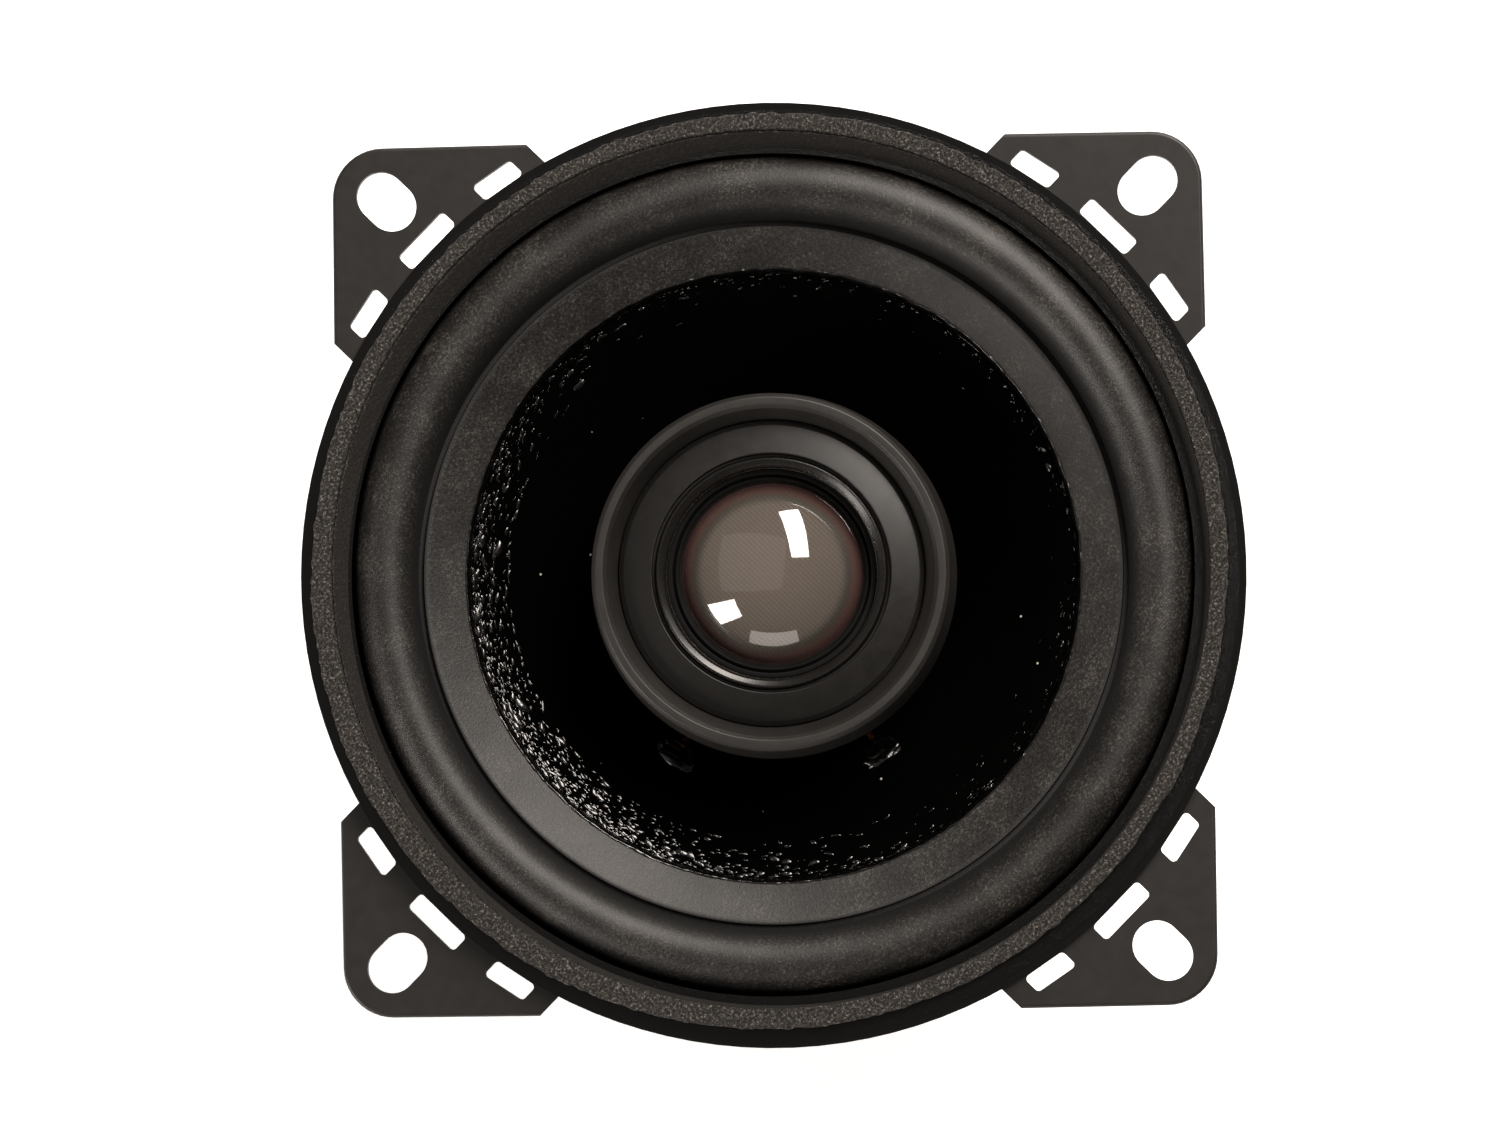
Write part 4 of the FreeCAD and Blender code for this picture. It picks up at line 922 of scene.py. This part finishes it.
def make_cone():
    """Curved pulp cone with a faint felt texture."""
    outer, _, high = levels("cone")
    (centre_r, centre_z), steps = CONE_CENTRE, 48
    ends = [math.atan2(z - centre_z, r - centre_r) for r, z in (CONE_BEND, NECK)]
    turns = np.linspace(*ends, steps + 1)
    radii, heights = CONE_CURVE * np.cos(turns), CONE_CURVE * np.sin(turns)
    front = [(outer, high), *zip(centre_r + radii, centre_z + heights)]

    def shift(points):
        felt = 0.03 * bump_noise(points, 1.1 * MM, 21) + 0.03 * bump_noise(points, 4 * MM, 22)
        bare = 1 - smooth(radial(points), LAND_IN - 1 * MM, LAND_IN)
        return raised(points, felt * bare * MM)

    piece = lathe("pulp_cone", sheet(front, CONE_WALL), 320, shift, sharp=60)
    finish_piece(piece, cone_paper(), "cone_paper", "woofer", "cone")


def surround_glue_shift(points):
    """Ragged thin band of adhesive down the cone, with a wavy bead along the landing's edge."""
    radius, angle = radial(points), bearing(points)
    film, bead_width, bead_height = 0.07, 0.40 * MM, 0.58
    circle = np.stack([np.cos(angle), np.sin(angle), 0 * angle], axis=1) * 30 * MM
    ragged = 0.8 * bump_noise(circle, 3.2 * MM, 31) + 0.5 * bump_noise(circle, 0.9 * MM, 32)
    reach = smooth(radius, (29.6 + ragged) * MM, (30.6 + ragged) * MM)
    lumps = 0.5 * bump_noise(points, 0.8 * MM, 33) + 0.5 * bump_noise(points, 0.38 * MM, 34)
    thick = reach * (film + 0.04 * lumps) - 0.05 * (1 - reach)
    wavy = 0.10 * bump_noise(circle, 1.1 * MM, 36) * MM
    bead = np.sqrt(np.clip((radius - BEAD_IN - wavy) / bead_width, 0, 1))
    thick = thick + bead * (bead_height + 0.08 * bump_noise(points, 0.5 * MM, 35))
    on_top = points[:, 2] > cone_front(np.minimum(radius, LAND_IN)) - 0.1 * MM
    return raised(points, thick * on_top * MM)


def glue_drops():
    """Points and faces of small flat drops scattered over the adhesive, thicker near its edge."""
    random = np.random.default_rng(DROP_SEED)
    unit, unit_faces = unit_ball(6, 9)
    yaw_spread, size_spread, bend = 0.25, 0.45, 0.6
    points, faces = [], []
    for _ in range(DROP_COUNT):
        if random.random() < CLUSTER_SHARE:
            seen, size = math.radians(random.normal(CLUSTER_ANGLE, CLUSTER_SPREAD)), CLUSTER_DROP
            angle = PICTURE_TURN + seen
        else:
            angle, size = random.uniform(0, 2 * math.pi), OTHER_DROP
        radius = LAND_IN - 0.4 * MM - min(DROP_REACH, random.exponential(5 * size)) * MM
        height = float(cone_front(radius)) + 0.05 * MM
        slope = -(radius - CONE_CENTRE[0]) / (height - CONE_CENTRE[1])
        out = np.array([math.cos(angle), math.sin(angle), 0])
        tangent = np.array([-out[1], out[0], 0])
        normal = np.array([0, 0, 1.0]) - slope * out
        normal /= np.linalg.norm(normal)
        across = np.cross(normal, tangent)
        yaw = random.normal(0, yaw_spread)
        first = tangent * math.cos(yaw) + across * math.sin(yaw)
        second = np.cross(normal, first)
        long = random.lognormal(math.log(size), size_spread) * MM
        wide = long * random.uniform(0.22, 0.55)
        thick = wide * random.uniform(0.25, 0.55)
        bent = unit.copy()
        bent[:, 1] += random.uniform(-bend, bend) * unit[:, 0] ** 2
        axes = np.array([first * long, second * wide, normal * thick])
        add_part(points, faces, bent @ axes + out * radius + (0, 0, height), unit_faces)
    return points, faces


def make_surround_adhesive():
    """Adhesive soaked into the cone, its bead at the landing's edge and many glossy drops."""
    inner, outer = 28.4 * MM, LAND_IN + 0.15 * MM
    band_radii = np.linspace(inner, BEAD_IN, 26)[:-1]
    radii = np.concatenate([band_radii, np.linspace(BEAD_IN, outer, 18)])
    top = [(r, float(cone_front(min(r, LAND_IN)))) for r in radii]
    outline = top + [(r, z - 0.35 * MM) for r, z in (top[-1], top[0])]
    band = lathe("surround_glue_band", outline, 1000, surround_glue_shift, sharp=80)
    points = [tuple(vertex.co) for vertex in band.data.vertices]
    faces = [tuple(face.vertices) for face in band.data.polygons]
    dull = [face.center.xy.length < BEAD_IN for face in band.data.polygons]
    bpy.data.objects.remove(band)
    add_part(points, faces, *glue_drops())
    piece = mesh_object("surround_glue", points, faces, sharp=80)
    finish_piece(piece, black_adhesive(), "black_glue", "woofer", "surround_adhesive")
    piece.data.materials.append(soaked_paper().material)
    for face, is_dull in zip(piece.data.polygons, dull):
        face.material_index = int(is_dull)


def make_neck_adhesive():
    """Glossy fillet between the cone's neck and the former."""
    _, _, high = levels("neck_adhesive")
    outline = [(FORMER, NECK[1] - 0.3 * MM), (FORMER, high), (FORMER + 0.7 * MM, high - 0.9 * MM)]
    outline += [(11.95 * MM, -15.2 * MM), (11.7 * MM, -15.9 * MM)]
    outline = refine(round_corners(outline, 0.3 * MM), 0.2 * MM)

    def shift(points):
        loose = smooth(radial(points), FORMER + 0.1 * MM, FORMER + 0.6 * MM)
        return raised(points, loose * 0.12 * bump_noise(points, 1.2 * MM, 41) * MM)

    piece = lathe("neck_glue_fillet", outline, 300, shift, sharp=80)
    finish_piece(piece, black_adhesive(), "black_glue", "woofer", "neck_adhesive")


# The leads of the woofer's voice coil


def local(x, y, z):
    """A point given along and across the terminals' direction."""
    along = Vector((math.cos(TERMINALS), math.sin(TERMINALS), 0))
    across = Vector((-along.y, along.x, 0))
    return along * x + across * y + FRONT * z


def blob(centre, out, sizes, seed):
    """Points and faces of a lumpy closed drop with its long side across out."""
    unit, faces = unit_ball(28, 48)
    coarse = bump_noise(unit + seed, 0.55, seed)
    fine = bump_noise(unit + seed, 0.22, seed + 1)
    swell = 1 + 0.16 * coarse + 0.08 * fine
    axes = np.array([out, FRONT.cross(out).normalized(), FRONT])
    return (unit * swell[:, None] * np.array(sizes)) @ axes + np.array(centre), faces


def make_lead_dots():
    """Glossy drops of adhesive over the ends of the tinsel leads."""
    points, faces = [], []
    for side, seed in ((1, 51), (-1, 57)):
        height = float(cone_front(math.hypot(*EYELET)))
        centre = local(EYELET[0], side * EYELET[1], height)
        out = Vector((centre.x, centre.y, 0)).normalized()
        lean = (out + FRONT * 0.6).normalized()
        sizes = (1.5 * MM, 2.5 * MM, 0.85 * MM)
        add_part(points, faces, *blob(centre, lean, sizes, seed))
    piece = mesh_object("lead_glue_drops", points, faces, sharp=80)
    fix_mesh(piece)
    finish_piece(piece, black_adhesive(), "black_glue", "woofer", "lead_glue_dots")


def make_tinsel_leads():
    """Slack leads of seven strands, from the lugs to the back of the cone."""
    _, _, lug_top = levels("positive_blade")
    back = float(cone_front(math.hypot(*EYELET))) - CONE_WALL
    strand, wound, lay = 0.14 * MM, 0.24 * MM, 2.4 * MM
    braid = bare_tinsel()
    x, y = EYELET
    stops = [
        (34.1 * MM, 8.6 * MM, lug_top + 0.4 * MM), (34.6 * MM, 9.2 * MM, -14.6 * MM),
        (30.2 * MM, 10.4 * MM, -11.8 * MM), (24.4 * MM, 11.2 * MM, -13.0 * MM),
        (x + 0.6 * MM, y, -11.4 * MM), (x, y, back - 0.2 * MM),
    ]
    for name, side in (("positive", 1), ("negative", -1)):
        path = soften([local(out, side * across, z) for out, across, z in stops], 6)
        points, faces = [], []
        for k in range(7):  # six strands round a seventh

            def wind(length, phase=2 * math.pi * k / 6, reach=wound if k < 6 else 0.0):
                turn = phase + 2 * math.pi * length / lay
                return reach * math.cos(turn), reach * math.sin(turn)

            add_part(points, faces, *sweep(path, strand, 6, wind))
        piece = mesh_object(f"tinsel_{name}", points, faces, sharp=70)
        still, free = 32 * MM, 24 * MM
        finish_moving(piece, braid, "tinsel", "woofer", free, still, f"tinsel_lead_{name}")


# The spider and the voice coil


def wavy_line(inner, start, end, outer, low, height, waves, steps):
    """A line from inner to outer that waves between start and end above low."""
    line = [(inner, low)]
    for step in range(steps + 1):
        part = step / steps
        rise = height * math.sin(math.pi * waves * part)
        line.append((start + (end - start) * part, low + rise))
    return line + [(outer, low)]


def make_spider():
    """Corrugated cloth disc, flat where it is glued to the ledge."""
    outer, _, _ = levels("spider")
    cloth, top = 0.5 * MM, -18.0 * MM
    inner, start, end = 10.3 * MM, 12.2 * MM, 27.4 * MM
    height, waves = 0.75 * MM, 8
    line = wavy_line(inner, start, end, outer, top, height, waves, 12 * waves)
    piece = lathe("cloth_spider", sheet(line, cloth), 300, sharp=60)
    finish_moving(piece, spider_weave(), "spider_cloth", "woofer", start, end, "spider")


def make_voice_coil():
    """Copper winding on the former, its turns showing as round wires."""
    outer, low, high = levels("voice_coil")
    turns, steps = 30, 8
    wire = (high - low) / turns / 2
    outline = [(FORMER, high), (FORMER, low)]
    for turn in range(turns):
        middle = low + wire * (2 * turn + 1)
        for step in range(steps + 1):
            lean = math.pi * (step / steps - 0.5)
            radius = outer - wire + wire * math.cos(lean)
            outline.append((radius, middle + wire * math.sin(lean)))
    piece = lathe("copper_winding", outline, 180, sharp=50)
    finish_piece(piece, enamelled_copper(), "copper", "woofer", "voice_coil")


# The tweeter


def make_housing():
    """Tweeter cup with a soft front lip and two holes for its leads."""
    side, low, high = levels("tweeter_housing", MM)
    outline = [
        (0, low), (19.2, low, 0.4), (side, -2.9, 0.6), (18.95, 6.5, 0.4), (18.5, high, 0.2),
        (17.75, high, 0.15), (17.35, 6.5, 0.2), (16.35, 3.7, 0.1), (16.35, 2.4), (14.8, 2.4),
        (14.8, 1.4), (17.6, 1.4), (17.6, -2.6, 0.2), (0, -2.6),
    ]
    outline = in_metres(round_corners(outline, 0, closed=False, steps=6))
    piece = lathe("tweeter_cup", outline, 300, sharp=32)
    drill_lead_holes(piece, low * MM)
    finish_piece(piece, housing_plastic(), "black_plastic", "frame", "tweeter_housing")


def drill_lead_holes(piece, low):
    """Cut the two round lead holes through the housing's floor."""
    hole, bottom, top = 0.6 * MM, -1 * MM, 3 * MM
    for side in (1, -1):
        drill = lathe("drill", [(0, bottom), (hole, bottom), (hole, top), (0, top)], 24)
        drill.location = local(15 * MM, side * 0.65 * MM, low)
        cut = piece.modifiers.new("hole", "BOOLEAN")
        cut.operation = "DIFFERENCE"
        cut.solver = "EXACT"
        cut.object = drill
        bpy.context.view_layer.update()
        done = bpy.data.meshes.new_from_object(
            piece.evaluated_get(bpy.context.evaluated_depsgraph_get())
        )
        piece.modifiers.clear()
        piece.data = done
        bpy.data.objects.remove(drill)


def make_face_plate():
    """Face plate: a rounded ridge, a groove and a wide sloping face."""
    outer, low, high = levels("tweeter_face_plate", MM)
    outline = [
        (11.25, low), (outer, low), (outer, 3.85, 0.15), (15.7, 4.15, 0.25), (12.65, 4.85, 0.15),
        (12.65, 4.2, 0.1), (12.35, 4.2, 0.1), (12.15, high, 0.12), (11.95, high, 0.12),
        (11.45, 4.85, 0.1), (11.25, 4.45, 0.1),
    ]
    outline = in_metres(round_corners(outline, 0, steps=6))
    piece = lathe("tweeter_face", outline, 300, sharp=40)
    finish_piece(piece, face_plastic(), "black_plastic", "frame", "tweeter_face_plate")


def make_clamp_ring():
    """Thin ring round the tweeter's surround."""
    outer, low, high = levels("tweeter_clamp_ring")
    inner = 10.55 * MM
    outline = [(inner, low), (outer, low), (outer, high, 0.15 * MM), (inner, high, 0.15 * MM)]
    piece = lathe("tweeter_clamp", round_corners(outline, 0.02 * MM), 240, sharp=40)
    finish_piece(piece, soft_black(), "black_plastic", "frame", "tweeter_clamp_ring")


def sphere_radius(radius, rise):
    """Radius of a sphere whose cap has this radius and rise."""
    return (radius**2 + rise**2) / (2 * rise)


def dome_curve(radius, low, high, steps):
    """Points of a dome's section from its crown to its edge."""
    curve = sphere_radius(radius, high - low)
    edge = math.asin(radius / curve)
    line = []
    for step in range(steps + 1):
        turn = edge * step / steps
        line.append((curve * math.sin(turn), high - curve + curve * math.cos(turn)))
    return line


def make_dome():
    """Clear film dome."""
    outer, low, high = levels("tweeter_dome")
    film = 0.12 * MM
    front = dome_curve(outer, low, high, 48)
    back = dome_curve(outer - film, low, high - film, 48)[::-1]
    piece = lathe("film_dome", front + back, 240, sharp=60)
    finish_piece(piece, dome_film(outer), "dome_film", "tweeter_diaphragm", "tweeter_dome")


def make_dome_cloth():
    """Woven cloth under the film: its threads rise and dip over each other."""
    outer, low, high = levels("tweeter_dome_cloth")
    cloth, thread = 0.1 * MM, 0.012 * MM
    top = high - cloth
    curve = sphere_radius(outer, top - low)
    steps = 280
    line = np.linspace(-outer, outer, steps)
    x, y = np.meshgrid(line, line, indexing="ij")
    radius = np.hypot(x, y)
    shrink = np.where(radius <= outer, 1, outer / np.maximum(radius, 1e-9))
    keep = radius <= outer + 1.2 * (line[1] - line[0])
    x, y = x * shrink, y * shrink
    strong, weak = (np.sin(2 * math.pi * along / CLOTH_PITCH) for along in (x, y))
    z = top - curve + np.sqrt(curve**2 - x * x - y * y) + thread * (strong + WEAK_THREADS * weak)
    count = int(keep.sum())
    index = -np.ones((steps, steps), int)
    index[keep] = np.arange(count)
    front = np.stack([x[keep], y[keep], z[keep]], axis=1)
    points = np.concatenate([front, front - [0, 0, cloth]])
    faces = []
    for i, j in np.ndindex(steps - 1, steps - 1):
        quad = [int(index[i + a, j + b]) for a, b in ((0, 0), (1, 0), (1, 1), (0, 1))]
        if min(quad) >= 0:
            faces += [tuple(quad), tuple(k + count for k in reversed(quad))]
    rim = open_edges(faces[::2])
    faces += [(b, a, a + count, b + count) for a, b in rim]
    piece = mesh_object("dome_weave", points, faces, sharp=80)
    finish_piece(piece, dome_cloth(), "dome_cloth", "tweeter_diaphragm", "tweeter_dome_cloth")


def open_edges(faces):
    """Edges that only one face has, in that face's direction."""
    seen = set()
    for face in faces:
        seen.update(zip(face, face[1:] + face[:1]))
    return [(a, b) for a, b in seen if (b, a) not in seen]


def make_tweeter_surround():
    """Narrow soft roll between the dome and the clamp ring."""
    outer, low, high = levels("tweeter_surround")
    inner, start, end, rise = 9.65 * MM, 9.8 * MM, 10.5 * MM, 0.25 * MM
    line = wavy_line(inner, start, end, outer, high, rise, 1, 16)
    piece = lathe("tweeter_roll", sheet(line, high - low), 200, sharp=60)
    free, still = 9.75 * MM, 10.6 * MM
    finish_moving(
        piece, soft_black(), "halo_rubber", "tweeter_diaphragm", free, still, "tweeter_surround"
    )


# The CAD nodes that keep their shape


def repaint_nodes():
    """Materials for the CAD nodes that stay."""
    repaint(painted_steel(), "basket")
    repaint(zinc_steel(), "top_plate", "back_plate_and_pole", "basket_rivets", "tweeter_post",
            "post_washer", "post_nut", "board_rivet", "terminal_rivets")
    repaint(sintered_ferrite(), "ferrite_magnet")
    repaint(nickel_steel(), "tweeter_pot", "tweeter_magnet", "tweeter_pole_plate")
    repaint(fibre_board(), "terminal_board")
    repaint(tinned_brass(), "positive_blade", "negative_blade", "capacitor_leads")
    repaint(capacitor_sleeve(), "capacitor")
    repaint(hot_melt(), "capacitor_adhesive")
    repaint(insulation("red_insulation", (0.30, 0.012, 0.010), (0.42, 0.022, 0.016)),
            "tweeter_lead_positive")
    repaint(insulation("black_insulation", grey(0.010), grey(0.018)), "tweeter_lead_negative")
    repaint(rolled_aluminium(), "voice_coil_former", "tweeter_coil_former")
    repaint(enamelled_copper(), "coil_leads")
    repaint(enamelled_copper("brown_enamel", 0.12), "tweeter_coil")


add_camera()
add_lights()
add_floor()
make_gasket()
make_surround()
make_cone()
make_surround_adhesive()
make_neck_adhesive()
make_lead_dots()
make_tinsel_leads()
make_spider()
make_voice_coil()
make_housing()
make_face_plate()
make_clamp_ring()
make_dome()
make_dome_cloth()
make_tweeter_surround()
repaint_nodes()
